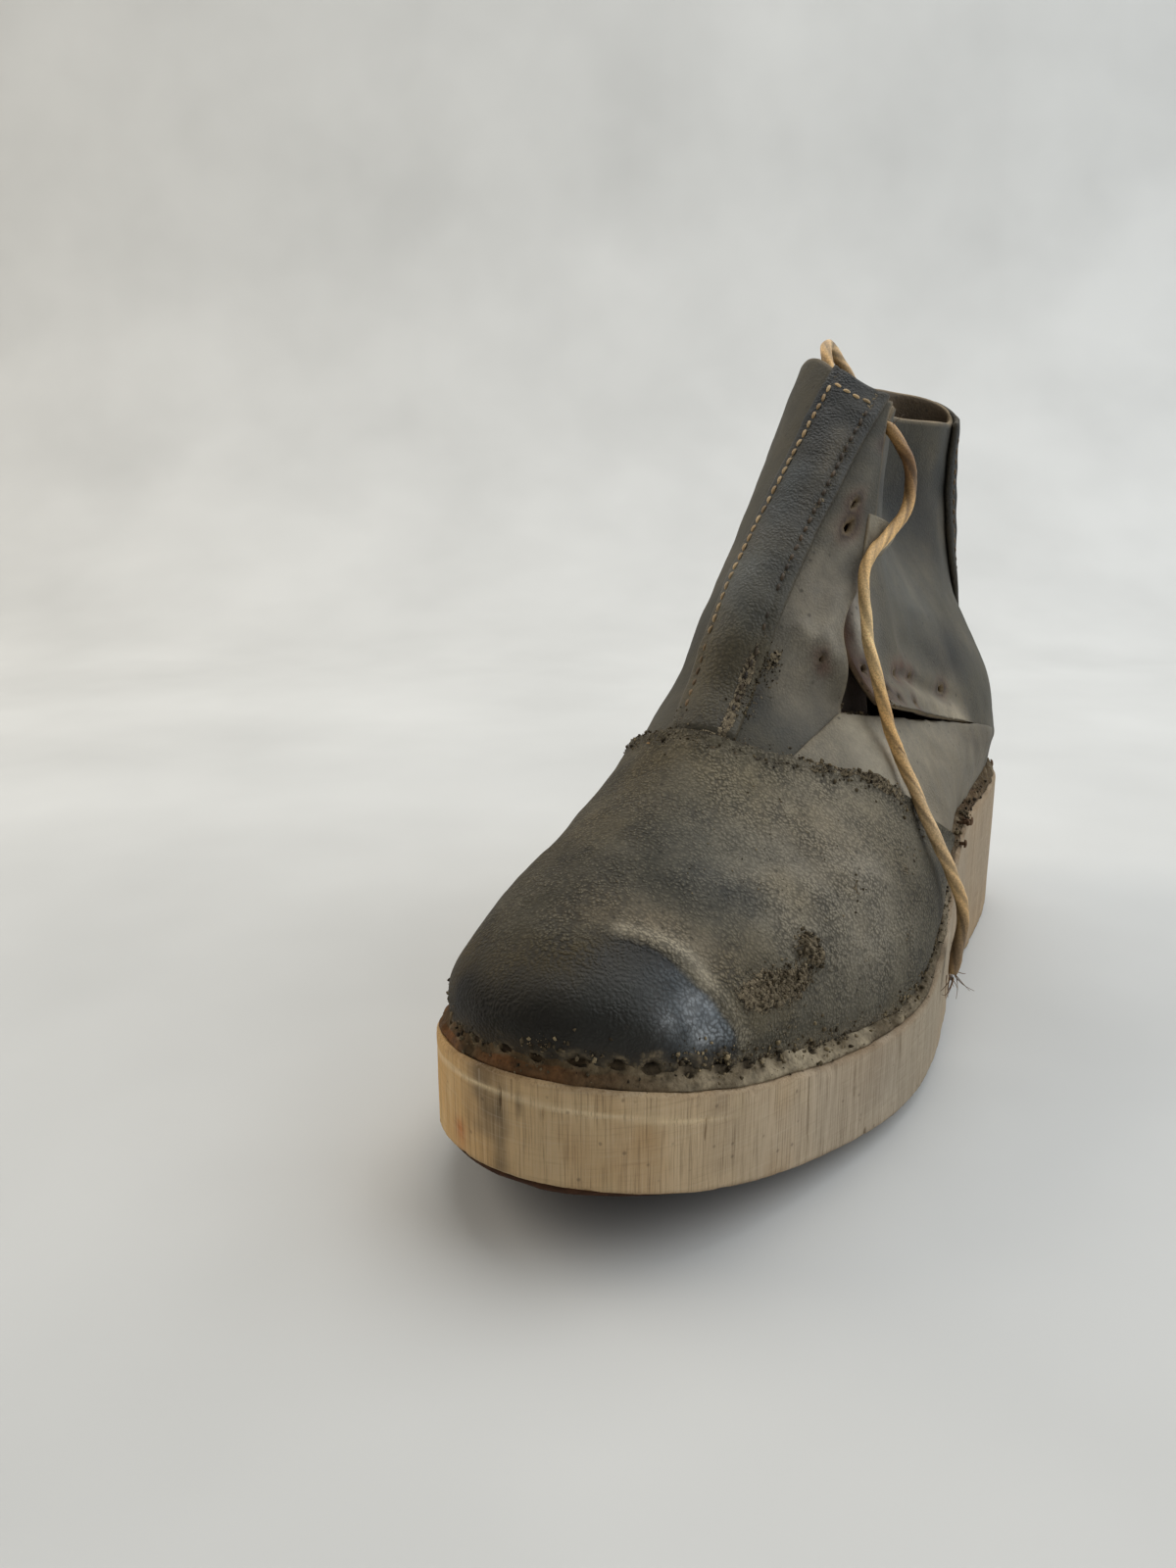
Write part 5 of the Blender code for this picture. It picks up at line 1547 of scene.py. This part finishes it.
def makeLowerPiece():
    us = np.linspace(0.10, 0.45, 240)
    vs = np.linspace(0.02, 0.505, 110)

    def keep(u, v):
        point = basePoint(u, v)
        slope = 0.406 + (0.506 - v) / 0.055 * 0.025
        front = (slope - u) * girth(v)
        top = (0.497 - v) * boot["mmPerV"]
        back = (u - 0.11) * 500
        return np.minimum(np.minimum(front, top), back) + 0.5 * lumps(point, 4, 75)

    places, cells = cutGrid(us, vs, keep)
    u, v = places[:, 0], places[:, 1]
    point = basePoint(u, v)
    inside = np.maximum(keep(u, v), 0)
    thick = lowerPiece["thick"] - 0.35 * np.exp(-inside / 0.7)
    thick = thick * smooth(v, 0.018, 0.05) * smooth(u, 0.105, 0.16)
    outer = upperPoint(u, v, thick + 0.15 * lumps(point, 12, 76))
    inner = upperPoint(u, v, 0.05)
    tint = paint(outer, lowerPiece["tan"], [
        (22, 0.7, (146, 138, 121), [(30, 150, 88), (34, 125, 76)]),
        # painted light, lifting the lace's shadow on the piece's front
        (9, 0.8, (182, 173, 154), [(26, 166, 88), (29, 161, 85)]),
        (18, 0.6, (88, 78, 60), [(38, 140, 64), (38, 110, 62)]),
        (14, 0.6, (76, 69, 57), [(34, 80, 70), (34, 50, 64)]),
        (2, 0.8, (140, 130, 110), [(19, 167, 98), (16, 178, 95), (14.4, 187.5, 91)]),
        (5, 0.4, (74, 66, 54), [(23, 155, 97), (26, 135, 92)]),
        (4, 0.4, (74, 66, 52), [(33, 128, 84), (34, 116, 78)]),
        (6, 0.6, (124, 116, 100), [(36, 150, 76), (40, 130, 66)]),
    ], seed=77)
    addPiece("lowerPiece", [thickForm(cells, outer, inner, tint, finishOf(outer, 0.1, 0.65))], quarterFinish)


makeLowerPiece()


# How far a strip sinks where it runs under the vamp.
def tuckDepth(u, v):
    return 2.4 * smooth(vampKeep(u, v), -1.2, 2.5)


# Stitch rows of the front strip: distance from its middle at each height, inner and outer side.
def frontRows(v):
    heights = [0.44, 0.472, 0.536, 0.604, 0.696, 0.76, 0.828, 0.908, 1.0]
    inner = np.interp(v, heights, [2.6, 3.4, 4.5, 5.2, 6.2, 6.6, 5.5, 5.2, 4.8])
    outer = np.interp(v, heights, [-7.6, -7.3, -6.6, -6.5, -5.9, -5.7, -6.1, -6.3, -7.2])
    return inner, outer


def backRows(v):
    return 5.9 + 0 * v, -5.9 + 0 * v


# A strip sewn over a seam: rows of places across its width, with channels where it is stitched.
def makeStrip(name, node, finish, strip, centreU, stitchRows, vs, strokes, part, seed):
    columns = 33
    lift, thick, margins = strip["lift"], strip["thick"], strip["margins"]
    inner, outer = stitchRows(vs)
    share = np.linspace(0, 1, columns)[None, :]
    ragged = points3(vs * boot["mmPerV"], 0, 0)
    low = outer - margins[1] + 0.3 * rough(ragged, 9, seed + 3)
    high = inner + margins[0] + 0.3 * rough(ragged, 9, seed + 4)
    d = low[:, None] * (1 - share) + high[:, None] * share
    us = np.concatenate([uBeside(centreU, [v], row) for v, row in zip(vs, d)])
    gridV = np.broadcast_to(vs[:, None], us.shape)
    fromEdge = np.minimum(d - low[:, None], high[:, None] - d)
    soft = -0.45 * np.exp(-fromEdge / 0.6)
    for row in (inner, outer):
        soft = soft - 0.34 * hump(d, row[:, None], 0.8)
    wavy = 0.22 * lumps(basePoint(us, gridV), 6, seed)
    tuck = np.minimum(tuckDepth(us, gridV), thick + lift + 0.6) if part == "front" else 0
    top = upperPoint(us, gridV, lift + thick + soft + wavy - tuck, part).reshape(-1, 3)
    addSkin(top, baseNormal(us, gridV).reshape(-1, 3))
    under = upperPoint(us, gridV, np.full(us.shape, lift - 0.5), part).reshape(-1, 3)
    tint = paint(top, strip["tan"], strokes, seed)
    # dirt lies in the stitch channels, more of it low down on the outer row
    packed = hump((d - outer[:, None]).ravel(), 0.0, 1.5)
    mud = packed * (0.35 + 0.75 * smooth(np.repeat(vs, columns), 0.63, 0.56))
    mud = mud + hump((d - inner[:, None]).ravel(), 0.0, 1.0) * 0.35
    mud = np.clip(mud * (0.9 + 0.8 * rough(top, 7, seed + 5)), 0, 1) * (part == "front")
    closed = thickForm(gridCells(len(vs), columns), top, under, tint, finishOf(top, 0.35, 0.4, mud),
                       cutEdge=(84, 74, 54), mix=0.45)
    addPiece(name, [closed], finish, [node])


frontStrip = {"lift": 0.7, "thick": 1.9, "margins": (2.3, 3.0), "tan": (66, 62, 50)}
makeStrip("frontStrip", "front_strip", stripFinish, frontStrip, frontU, frontRows,
          np.linspace(0.444, 1.0, 140), [
              (20, 0.9, (25, 31, 33), [(0, 136, 172), (0, 128, 180)]),
              (16, 0.8, (43, 47, 47), (-3, 158, 149)),
              (16, 0.8, (80, 76, 65), (-8, 171, 134)),
              (18, 0.8, (86, 78, 58), [(-10, 192, 106), (-8, 182, 118)]),
              (4, 0.5, (84, 92, 96), [(-2, 150, 158), (-4, 160, 146), (-6, 172, 133)]),
              (7, 0.8, (92, 95, 92), [(-6, 174, 133), (-4.5, 182, 124)]),
              (3, 0.6, (104, 96, 80), [(6, 140, 168), (1, 165, 138), (-1, 185, 112)]),
              (5, 0.4, (50, 56, 58), [(2, 172, 134), (1, 178, 124)]),
          ], "front", 81)
backStay = {"lift": 0.8, "thick": 1.8, "margins": (2.6, 2.6), "tan": (54, 52, 45)}
makeStrip("backStay", "back_stay", stayFinish, backStay, 0.0, backRows,
          np.linspace(0.17, 1.0, 120), [
              (22, 0.7, (42, 45, 45), (8, 20, 165)),
              (20, 0.6, (76, 68, 54), (2, 3, 80)),
          ], "body", 85)


# The rand: a torn strip of leather nailed round the foot of the upper, dented at each toe nail.
rand = {"around": 860, "thick": 2.9, "toeRise": 2.9, "inset": 1.0, "tan": (88, 74, 54)}
# shares of the way from the rand's outer edge up to the upper, one for each row of points
randRows = (0.12, 0.26, 0.40, 0.54, 0.68, 0.80, 0.91, 1.0)


def besideUpper(u, lift, clearance):
    levels = np.linspace(0, 0.2, 41)
    gridU, gridV = np.meshgrid(u, levels, indexing="ij")
    offset = 1.3 * smooth(vampKeep(gridU, gridV), -6, 1) * smooth(gridV, 0.02, 0.036)
    normal = baseNormal(gridU, gridV)
    points = basePoint(gridU, gridV) + normal * (offset + clearance)[..., None]
    rise = points[..., 2] - woodTop(points[..., 1])
    pick = np.argmax(rise >= np.reshape(lift, (-1, 1)), axis=1)
    return points[np.arange(len(u)), pick, :2]


# Distance from the middle of a nail's dent at the rand's upper edge, 1 at the dent's rim
def dentAway(around, t, at, size):
    return np.hypot(fromNail(around, at, size), (t - 0.88) / 0.44)


# The rand's rings of points from the foot of the upper out, up and back in
def randProfile(places, ragged):
    thick = rand["thick"] + rand["toeRise"] * hump(places, frontU, 0.10)
    thick = thick * (1 + 0.16 * rough(ragged, 9, 91, 3)) + 0.35 * lumps(ragged, 2.4, 92)
    thick = thick + 5.0 * hump(places, 0.098, 0.004) + 1.6 * hump(places, 0.108, 0.014)
    low = besideUpper(places, boot["gap"] + 0.1, 0.1)
    high = besideUpper(places, boot["gap"] + thick, 0.1)
    outerEdge = rand["inset"] + 0.7 * rough(ragged, 7, 93) - 0.8 * hump(places, 0.098, 0.006)
    edge = soleOutline(places, outerEdge)[:, ::-1]
    shoulder = soleOutline(places, outerEdge + 0.8)[:, ::-1]
    brim = boot["gap"] + 1.7 + 0.7 * rough(ragged, 5, 94) + 0.3 * smooth(places, 0.40, 0.30)
    brim = brim + 0.5 * lumps(ragged, 2.0, 90) + 1.0 * hump(places, 0.48, 0.03)

    def row(flat, lift):
        return np.column_stack([flat, woodTop(flat[:, 1]) + lift])

    profile = [row(low, boot["gap"]), row(edge, boot["gap"])]
    for t in (0.35, 0.7, 0.95):
        profile.append(row(edge * (1 - t * t) + shoulder * t * t, boot["gap"] + (brim - boot["gap"]) * t))
    for t in randRows[:-1]:
        flat = shoulder * (1 - t) + high * t
        climb = brim + (boot["gap"] + thick - brim) * t ** 1.3
        dent = np.zeros(len(places))
        for at, size in toeNails:
            away = dentAway(places, t, at, size)
            dent += -1.4 * np.exp(-away ** 4) + 0.6 * hump(away, 1.35, 0.35)
        profile.append(row(flat, climb + dent))
    return profile + [row(high, boot["gap"] + thick)]


# The rand's colour; rowOf is the number of each point's ring
def randTint(points, around, rowOf):
    tint = paint(points, rand["tan"], [
        (26, 0.9, (84, 62, 38), [(-38, 268, 46), (-24, 284, 47)]),
        (26, 0.85, (90, 72, 50), [(-8, 288, 47), (2, 284, 47)]),
        (22, 0.85, (92, 78, 56), [(12, 278, 45), (22, 270, 43)]),
        (26, 0.85, (158, 146, 124), [(34, 250, 38), (46, 216, 32)]),
        (28, 0.8, (126, 116, 98), [(50, 180, 36), (46, 140, 44)]),
        (20, 0.8, (92, 74, 54), [(42, 110, 52), (40, 80, 54)]),
    ], seed=97, broken=0.9)
    tint = overlay(tint, 0.75 * smooth(rough(points, 6, 101, 4), -0.15, 0.6), (78, 66, 48))
    chalk = 0.5 * smooth(rough(points, 3.4, 102, 3), 0.15, 0.8) * smooth(around, 0.47, 0.42)
    tint = overlay(tint, chalk, (170, 156, 130))
    # the outer edge is bare torn leather, redder at the toe
    torn = np.where((rowOf >= 1) & (rowOf <= 5), 0.40, 0) * smooth(around, 0.43, 0.49)
    tint = overlay(tint, np.clip(torn * (1 + 1.8 * rough(points, 9, 98)), 0, 0.9), (122, 78, 42))
    t = np.select([rowOf == 5 + k for k in range(len(randRows))], randRows, 9.0)
    # pale rims round the nail dents, and painted shade inside them
    for at, size in toeNails:
        away = dentAway(around, t, at, size) * (1 + 0.35 * lumps(points, 1.7, 99))
        tint = overlay(tint, 0.55 * hump(away, 1.35, 0.35), (132, 118, 94))
        pit = (0.62 * np.exp(-away ** 4) * (1 + 0.8 * rough(points, 2.4, 89))).clip(0, 0.95)
        tint = overlay(tint, pit, (48, 38, 27))
    return tint


def makeRand():
    places = np.linspace(0, 1, rand["around"], endpoint=False)
    count = len(places)
    profile = randProfile(places, raised(soleOutline(places), 0))
    points = np.concatenate(profile)
    moved = 0.5 * lumps(points, 1.9, 95) + 0.44 * lumps(points, 3.6, 96)
    moved = moved * (np.arange(len(points)) >= 2 * count)
    points[:, 2] += moved
    points[:, :2] += (moved * 0.5)[:, None] * np.sign(points[:, :2] - (0, 150)) * 0.5
    layers = len(profile)
    faces = ringFaces(count, layers)
    last = (layers - 1) * count
    for i in range(count):
        n = (i + 1) % count
        faces.append([last + n, last + i, i, n])
    tint = randTint(points, np.tile(places, layers), np.repeat(np.arange(layers), count))
    addSkin(points, np.tile((0.0, 0.0, 1.0), (len(points), 1)))
    addPiece("randStrip", [form(points, faces, tint, finishOf(points))], randFinish, ["rand"])


makeRand()


# Stitches: short waxed capsules half sunk in the leather, one row after another.
def stitchRow(line, normals, pitch, size, thick, colours, seed, sink=0.15, lost=0.0):
    rng = np.random.default_rng(seed)
    run = runLength(line)
    made = []
    at = pitch / 2
    turn = np.linspace(0, 2 * math.pi, 8, endpoint=False)
    while at < run[-1] - pitch / 2:
        length = size * rng.uniform(0.85, 1.1)
        ends = alongLine(at + length * np.array([-0.5, 0.5]), run, line)
        up = unit(alongLine(at, run, normals))
        ahead = unit(ends[1] - ends[0])
        side = np.cross(ahead, up)
        ahead = ahead + side * rng.normal(0, 0.07)
        centre = ends.mean(axis=0) + side * rng.normal(0, 0.08)
        pick = rng.random()
        tone = rng.uniform(0.55, 1.12)
        share = rng.random()
        at += pitch
        if pick < lost:
            continue
        rings = []
        for t in (-1, -0.85, -0.45, 0, 0.45, 0.85, 1):
            wide = thick * math.sqrt(max(1 - abs(t) ** 3.2, 0.03))
            dip = sink + 0.30 * abs(t) ** 3
            mid = centre + ahead * t * length / 2 - up * dip
            rings.append(mid + wide * (np.cos(turn)[:, None] * side + np.sin(turn)[:, None] * up * 0.8))
        points = np.concatenate(rings)
        colour = (linear(colours[0]) * share + linear(colours[1]) * (1 - share)) * tone
        made.append(form(points, tubeFaces(len(rings), 8), np.tile(colour, (len(points), 1)),
                         finishOf(points, 0.4, 0.3)))
    return made


# One place on the upper for each level, at its own distance round from centreU
def placesBeside(centreU, vs, distances):
    return np.array([uBeside(centreU, [v], [d])[0, 0] for v, d in zip(vs, distances)])


def alongStrip(centreU, place, lowV, highV, lift, part):
    vs = np.linspace(lowV, highV, 160)
    us = placesBeside(centreU, vs, place(vs))
    return upperPoint(us, vs, lift, part), baseNormal(us, vs)


# Line along the vamp's edge, a given distance inside it.
def alongSeam(inside, lowU, highU, lift):
    us = np.linspace(lowU, highU, 400)
    vs = np.linspace(0.12, 0.60, 500)
    depth = vampKeep(us[:, None], vs[None, :])
    first = np.argmax(depth[:, ::-1] > inside, axis=1)
    v = vs[::-1][first]
    return upperPoint(us, v, lift), baseNormal(us, v)


# Distances between stitches in mm, on the seams, across the front strip's top and on the back stay.
pitches = {"seam": 3.3, "top": 3.1, "stay": 3.5}


def makeStitches():
    made = []
    pitch = pitches["seam"]
    top = frontStrip["lift"] + frontStrip["thick"] - 0.05
    golden, brown, dark = (216, 190, 146), (122, 100, 68), (46, 38, 28)
    line, up = alongStrip(frontU, lambda v: frontRows(v)[0], 0.47, 0.975, top, "front")
    made += stitchRow(line[38:], up[38:], pitch, 2.5, 0.50, (golden, (160, 132, 92)), 3, sink=0.0, lost=0.02)
    made += stitchRow(line[:38], up[:38], pitch, 2.3, 0.45, (brown, (96, 74, 46)), 4, lost=0.12)
    line, up = alongStrip(frontU, lambda v: frontRows(v)[1], 0.47, 0.975, top, "front")
    made += stitchRow(line[60:], up[60:], pitch, 2.3, 0.45, ((84, 66, 42), dark), 1, sink=0.05)
    made += stitchRow(line[:60], up[:60], pitch, 2.3, 0.45, ((78, 64, 44), dark), 2, lost=0.35)
    # one row across the strip just below the collar
    level = np.full(30, 0.977)
    us = placesBeside(frontU, level, np.linspace(*frontRows(0.977)[::-1], 30))
    made += stitchRow(upperPoint(us, level, top, "front"), baseNormal(us, level), pitches["top"], 2.5, 0.52,
                      ((228, 204, 160), (196, 166, 118)), 5, sink=0.0)
    for inside, seed in ((2.6, 6), (6.0, 7)):
        line, up = alongSeam(inside, 0.32, 0.50, 1.1)
        made += stitchRow(line, up, pitch, 2.4, 0.42, ((104, 84, 54), (66, 54, 36)), seed, lost=0.45)
        line, up = alongSeam(inside, 0.50, 0.68, 1.1)
        made += stitchRow(line, up, pitch, 2.5, 0.46, ((176, 136, 76), (136, 102, 58)), seed + 10, lost=0.06)
    stayTop = backStay["lift"] + backStay["thick"] - 0.1
    for side in (0, 1):
        line, up = alongStrip(0.0, lambda v: backRows(v)[side], 0.19, 0.985, stayTop, "body")
        made += stitchRow(line, up, pitches["stay"], 2.5, 0.5, (brown, (96, 74, 46)), 20 + side, lost=0.08)
    addPiece("stitches", made, threadFinish)


makeStitches()


# Crumbs of mud: small lumps laid on the nearest outer surface along a line. Those on lines brighter
# than dryOver are dry.
crumbs = {"damp": [(94, 84, 66), (112, 100, 78), (60, 51, 38), (134, 120, 94), (76, 67, 51)],
          "dry": [(128, 117, 97), (110, 99, 80), (142, 130, 108), (92, 82, 64), (120, 108, 88)],
          "dryOver": 1.8}


def makeCrumbs():
    points = np.concatenate(skin["points"])
    normals = np.concatenate(skin["normals"])
    tree = KDTree(len(points))
    for k, place in enumerate(points):
        tree.insert(place, k)
    tree.balance()
    rng = np.random.default_rng(11)
    seed = bmesh.new()
    bmesh.ops.create_icosphere(seed, subdivisions=1, radius=1.0)
    ball = np.array([vert.co for vert in seed.verts])
    ballFaces = [[vert.index for vert in face.verts] for face in seed.faces]
    seed.free()
    made = []
    edges = [(300, 0.7, 0.12, 0.5, 1.35, alongSeam(0.2, 0.38, 0.62, 0.6)[0][::8].tolist()),
             (260, 0.6, 0.12, 0.5, 0.9, alongSeam(6.0, 0.38, 0.60, 1.2)[0][::8].tolist()),
             (120, 0.5, 0.12, 0.4, 1.3, alongSeam(0.2, 0.53, 0.60, 0.6)[0][::8].tolist())]
    for count, apart, small, large, bright, line in crumbLines + edges:
        line = np.array(line if isinstance(line, list) else [line], float)
        fine = alongLine(np.linspace(0, len(line) - 1, 50), np.arange(len(line)), line)
        dry = bright > crumbs["dryOver"]
        tones = crumbs["dry" if dry else "damp"]
        bright = bright / 2 if dry else bright
        for _ in range(count):
            target = fine[rng.integers(len(fine))] + rng.normal(0, apart, 3)
            _, index, _ = tree.find(target)
            up = normals[index]
            size = small + (large - small) * rng.random() ** 3
            jitter = rng.normal(0, 0.5, 3)
            shape = ball * size * rng.uniform(0.5, 1.4, 3)
            shape = shape * (1 + 0.35 * rng.normal(0, 1, (len(ball), 1)).clip(-1, 1))
            place = points[index] + jitter - up * (jitter @ up) + up * size * 0.15
            tone = linear(tones[rng.integers(len(tones))]) * rng.uniform(0.6, 1.2) * bright
            made.append(form(place + shape, ballFaces, np.tile(tone, (len(ball), 1)), finishOf(ball)))
    addPiece("mudCrumbs", made, mudFinish)


# count, spread, smallest and largest size in mm, brightness and the line they lie along
crumbLines = [
    (260, 2.4, 0.15, 0.7, 1.25, [(14, 190, 88), (22, 184, 85), (29, 177, 81), (33, 172, 77)]),
    (110, 1.8, 0.15, 0.6, 1.2, [(33, 172, 77), (38, 166, 70), (42, 162, 62)]),
    (260, 1.5, 0.10, 0.38, 0.85, [(0, 196, 98), (2, 191, 103), (4, 185, 110)]),
    (150, 1.5, 0.10, 0.36, 0.6, [(5.5, 182, 113), (4, 186, 109)]),
    (120, 1.0, 0.12, 0.45, 0.9, [(-15, 201, 95), (-12, 190, 105), (-12, 180, 118)]),
    (240, 1.4, 0.14, 0.5, 2.1, [(25.6, 251.7, 51.4), (27.7, 245.8, 51.6)]),
    (520, 2.2, 0.14, 0.6, 2.1, [(27.7, 245.8, 50.9), (30.2, 239, 50.9), (32, 234, 50.2)]),
    (40, 1.0, 0.14, 0.4, 2.1, [(32, 234, 50.2), (33.6, 231, 49.2)]),
    (200, 3.8, 0.12, 0.35, 2.1, [(26, 248, 50), (31, 238, 48.5)]),
    (440, 1.4, 0.25, 0.85, 1.85, [(31.0, 229.4, 56), (31.9, 227.6, 55.4)]),
    (560, 1.3, 0.12, 0.6, 1.55, [(23, 259.5, 44.5), (15, 270, 47), (6, 280, 49), (-4, 287, 50)]),
    (50, 2.6, 0.12, 0.4, 1.2, (35, 205, 63)),
    (40, 2.4, 0.12, 0.4, 1.2, (41, 176, 62)),
    (620, 1.8, 0.12, 0.6, 1.6, [(20, 270, 44), (28, 256, 41), (36, 236, 36), (43, 210, 31), (48, 186, 32)]),
    (260, 1.6, 0.12, 0.6, 1.0, [(48, 186, 32), (48, 165, 38), (45, 140, 44)]),
    (260, 1.5, 0.12, 0.5, 0.9, [(-38, 268, 46), (-24, 284, 46), (-8, 288, 46), (6, 283, 45), (20, 271, 43)]),
    (200, 1.8, 0.12, 0.7, 0.9, [(42, 118, 52), (38, 90, 55), (37, 60, 55)]),
    (220, 2.4, 0.12, 0.6, 0.9, [(-50, 240, 40), (-54, 215, 34), (-50, 180, 36), (-42, 140, 44)]),
    (260, 12.0, 0.10, 0.3, 1.2, [(10, 240, 74), (30, 205, 68), (-10, 225, 80)]),
    (150, 5.0, 0.12, 0.6, 0.9, [(-27, 84, 148), (-27, 78, 140)]),
    (110, 3.0, 0.12, 0.5, 0.8, [(22, 166, 96), (24, 158, 95), (20, 170, 98)]),
]
makeCrumbs()


# The underlap behind the laced opening.
underlap = {"sunk": 3.1, "thick": 1.4, "tan": (62, 46, 36)}


def makeUnderlap():
    def keep(u, v):
        edge = 0.425 + 0.02 * smooth(v, 0.6, 0.8)
        return np.minimum((u - 0.372) * 400, (edge - u) * 400) + 1.2 * lumps(basePoint(u, v), 7, 120)

    places, cells = cutGrid(np.linspace(0.36, 0.45, 40), np.linspace(0.47, 0.80, 90), keep)
    u, v = places[:, 0], places[:, 1]
    outer = upperPoint(u, v, -underlap["sunk"])
    inner = upperPoint(u, v, -underlap["sunk"] - underlap["thick"])
    tint = paint(outer, underlap["tan"], [(8, 0.7, (34, 24, 18), (20, 160, 100))], 121)
    made = thickForm(cells, outer, inner, tint, finishOf(outer, 0.1, 0.6), cutEdge=(140, 122, 94))
    addPiece("underlap", [made], quarterFinish)


# A pale tab of leather that stands free of the outer side.
tab = {"thick": 1.1, "bulge": 0.9, "tan": (136, 129, 112)}


def makeTab():
    corners = np.array([[(15.5, 142.6, 147.9), (19.4, 124.6, 142.2)],
                        [(16.9, 150.2, 135.3), (18.2, 131.0, 136.6)]])
    rows, columns = 24, 26
    j, i = np.meshgrid(np.linspace(0, 1, rows), np.linspace(0, 1, columns), indexing="ij")
    reach = 0.06 + 0.94 * i * (1 - 0.22 * smooth(j, 0.55, 1.0) - 0.12 * hump(j, 0, 0.2))
    top = corners[0, 0] * (1 - reach[..., None]) + corners[0, 1] * reach[..., None]
    low = corners[1, 0] * (1 - reach[..., None]) + corners[1, 1] * reach[..., None]
    sheet = top * (1 - j[..., None]) + low * j[..., None]
    out = np.array((0.86, 0.42, 0.28))
    sheet = sheet + out * (tab["bulge"] * np.sin(math.pi * i) + 0.3 * lumps(sheet, 5, 130))[..., None]
    sheet = sheet.reshape(-1, 3)
    tint = paint(sheet, tab["tan"], [
        (3, 0.7, (96, 88, 74), (16, 143, 141)),
        (1.4, 0.8, (84, 72, 52), (17, 137, 143)),
        # painted shadow along the tab's lower edge
        (1.6, 0.8, (52, 44, 34), [(16.9, 150, 135.3), (18.2, 134, 135.6)]),
    ], 131)
    made = thickForm(gridCells(rows, columns), sheet, sheet - out * tab["thick"], tint,
                     finishOf(sheet, 0.1, 0.6), cutEdge=(140, 122, 94))
    addPiece("sideTab", [made], quarterFinish)


# Rusty nails in the rand: place, height above the wood, how far they stand out, head's radius.
nails = {"bent": [(0.181, 1.6, 2.4, 1.4), (0.187, 2.6, 1.8, 1.1), (0.200, 0.4, 2.2, 1.3)],
         "even": (0.02, 0.06, 0.60, 0.64, 0.68, 0.72, 0.76, 0.80, 0.84, 0.88, 0.92, 0.96),
         "tan": (100, 80, 62)}


def makeNails():
    rng = np.random.default_rng(17)
    made = []
    turn = np.linspace(0, 2 * math.pi, 12, endpoint=False)
    for at, lift, out, wide in nails["bent"] + [(at, 1.0, 0.9, 1.5) for at in nails["even"]]:
        s, x = soleOutline(np.array(at), rand["inset"] - 0.3)
        ahead = soleOutline(np.array(at), 0.0) - soleOutline(np.array(at), 4.0)
        way = unit(unit(np.array([ahead[1], ahead[0], 0.0])) + rng.normal(0, 0.18, 3))
        first = unit(np.cross(way, (0, 0, 1)))
        second = np.cross(way, first)
        start = np.array([x, s, float(woodTop(s)) + lift]) - way * 2
        rings = []
        ring = np.cos(turn)[:, None] * first + np.sin(turn)[:, None] * second
        head = [(out + 1.25, wide), (out + 1.7, wide * 0.95), (out + 2.0, wide * 0.5)]
        for along, radius in [(0, 0.55), (out + 1.2, 0.6)] + head:
            rings.append(start + way * along + radius * ring)
        points = np.concatenate(rings)
        points = points + 0.12 * np.column_stack([lumps(points, 1.0, k) for k in (140, 141, 142)])
        tint = paint(points, nails["tan"], [(1.2, 0.7, (128, 94, 66), tuple(points[50]))], 143)
        made.append(form(points, tubeFaces(len(rings), 12), tint, finishOf(points)))
    addPiece("rustyNails", made, rustFinish)


makeUnderlap()
makeTab()
makeNails()


# Pale floor curving up into a backdrop, and soft studio light.
studio = {"paperDark": (201, 202, 200), "paperLight": (214, 215, 213),
          "world": (0.90, 0.90, 0.90), "worldStrength": 0.24}


def makeFloor():
    made, tree, shader, where = startMaterial("paperFloor")
    cloud = spread(tree, noise(tree, where, 6.0, 3.0)["Fac"], 0.3, 0.7)
    colour = mixColour(tree, cloud, opaque(studio["paperDark"]), opaque(studio["paperLight"]))
    tree.links.new(colour, shader.inputs["Base Color"])
    shader.inputs["Roughness"].default_value = 0.85
    away = np.array((-0.49204, 0.87057, 0))
    side = np.array((0.87057, 0.49204, 0))
    start = np.array((0.112, -0.321, 0))
    # the floor runs flat from behind the camera to the bend, then curves up
    bend, radius = 0.95, 0.5
    profile = [(-2.5, 0.0), (0.0, 0.0), (bend, 0.0)]
    for angle in np.linspace(0, math.pi / 2, 24)[1:]:
        profile.append((bend + radius * math.sin(angle), radius * (1 - math.cos(angle))))
    profile.append((bend + radius, 4.0))
    verts = []
    for along, high in profile:
        for wide in (-5.0, 5.0):
            verts.append(tuple(start + away * along + side * wide + np.array((0, 0, high))))
    faces = [[2 * k, 2 * k + 1, 2 * k + 3, 2 * k + 2] for k in range(len(profile) - 1)]
    mesh = bpy.data.meshes.new("floor")
    mesh.from_pydata(verts, [], faces)
    mesh.shade_smooth()
    mesh.materials.append(made)
    addObject("floor", mesh)


def makeLight(name, place, target, size, power, colour, shine=1.0):
    data = bpy.data.lights.new(name, "AREA")
    data.shape = "DISK"
    data.size = size
    data.energy = power
    data.color = colour
    data.specular_factor = shine
    placed = addObject(name, data)
    back = unit(np.array(place, float) - np.array(target, float))
    right = unit(np.cross((0, 0, 1), back))
    placed.matrix_world = standing(right, np.cross(back, right), back, place)
    placed.visible_camera = False


def makeLights():
    world = bpy.data.worlds.new("studio")
    world.use_nodes = True
    back = world.node_tree.nodes["Background"]
    back.inputs["Color"].default_value = (*studio["world"], 1)
    back.inputs["Strength"].default_value = studio["worldStrength"]
    bpy.context.scene.world = world
    makeLight("key", (1.0, 0.55, 1.05), (0, 0, 0.06), 2.0, 17, (0.92, 0.96, 1.0))
    makeLight("top", (-0.2, 0.5, 1.5), (0, 0, 0.05), 1.3, 10.5, (1.0, 0.98, 0.95))
    makeLight("fill", (-1.2, -0.3, 0.8), (0, 0, 0.05), 1.0, 7.0, (1.0, 0.90, 0.76), 0.15)


makeFloor()
makeLights()
bpy.context.scene.view_settings.view_transform = "Standard"
print("stage set")
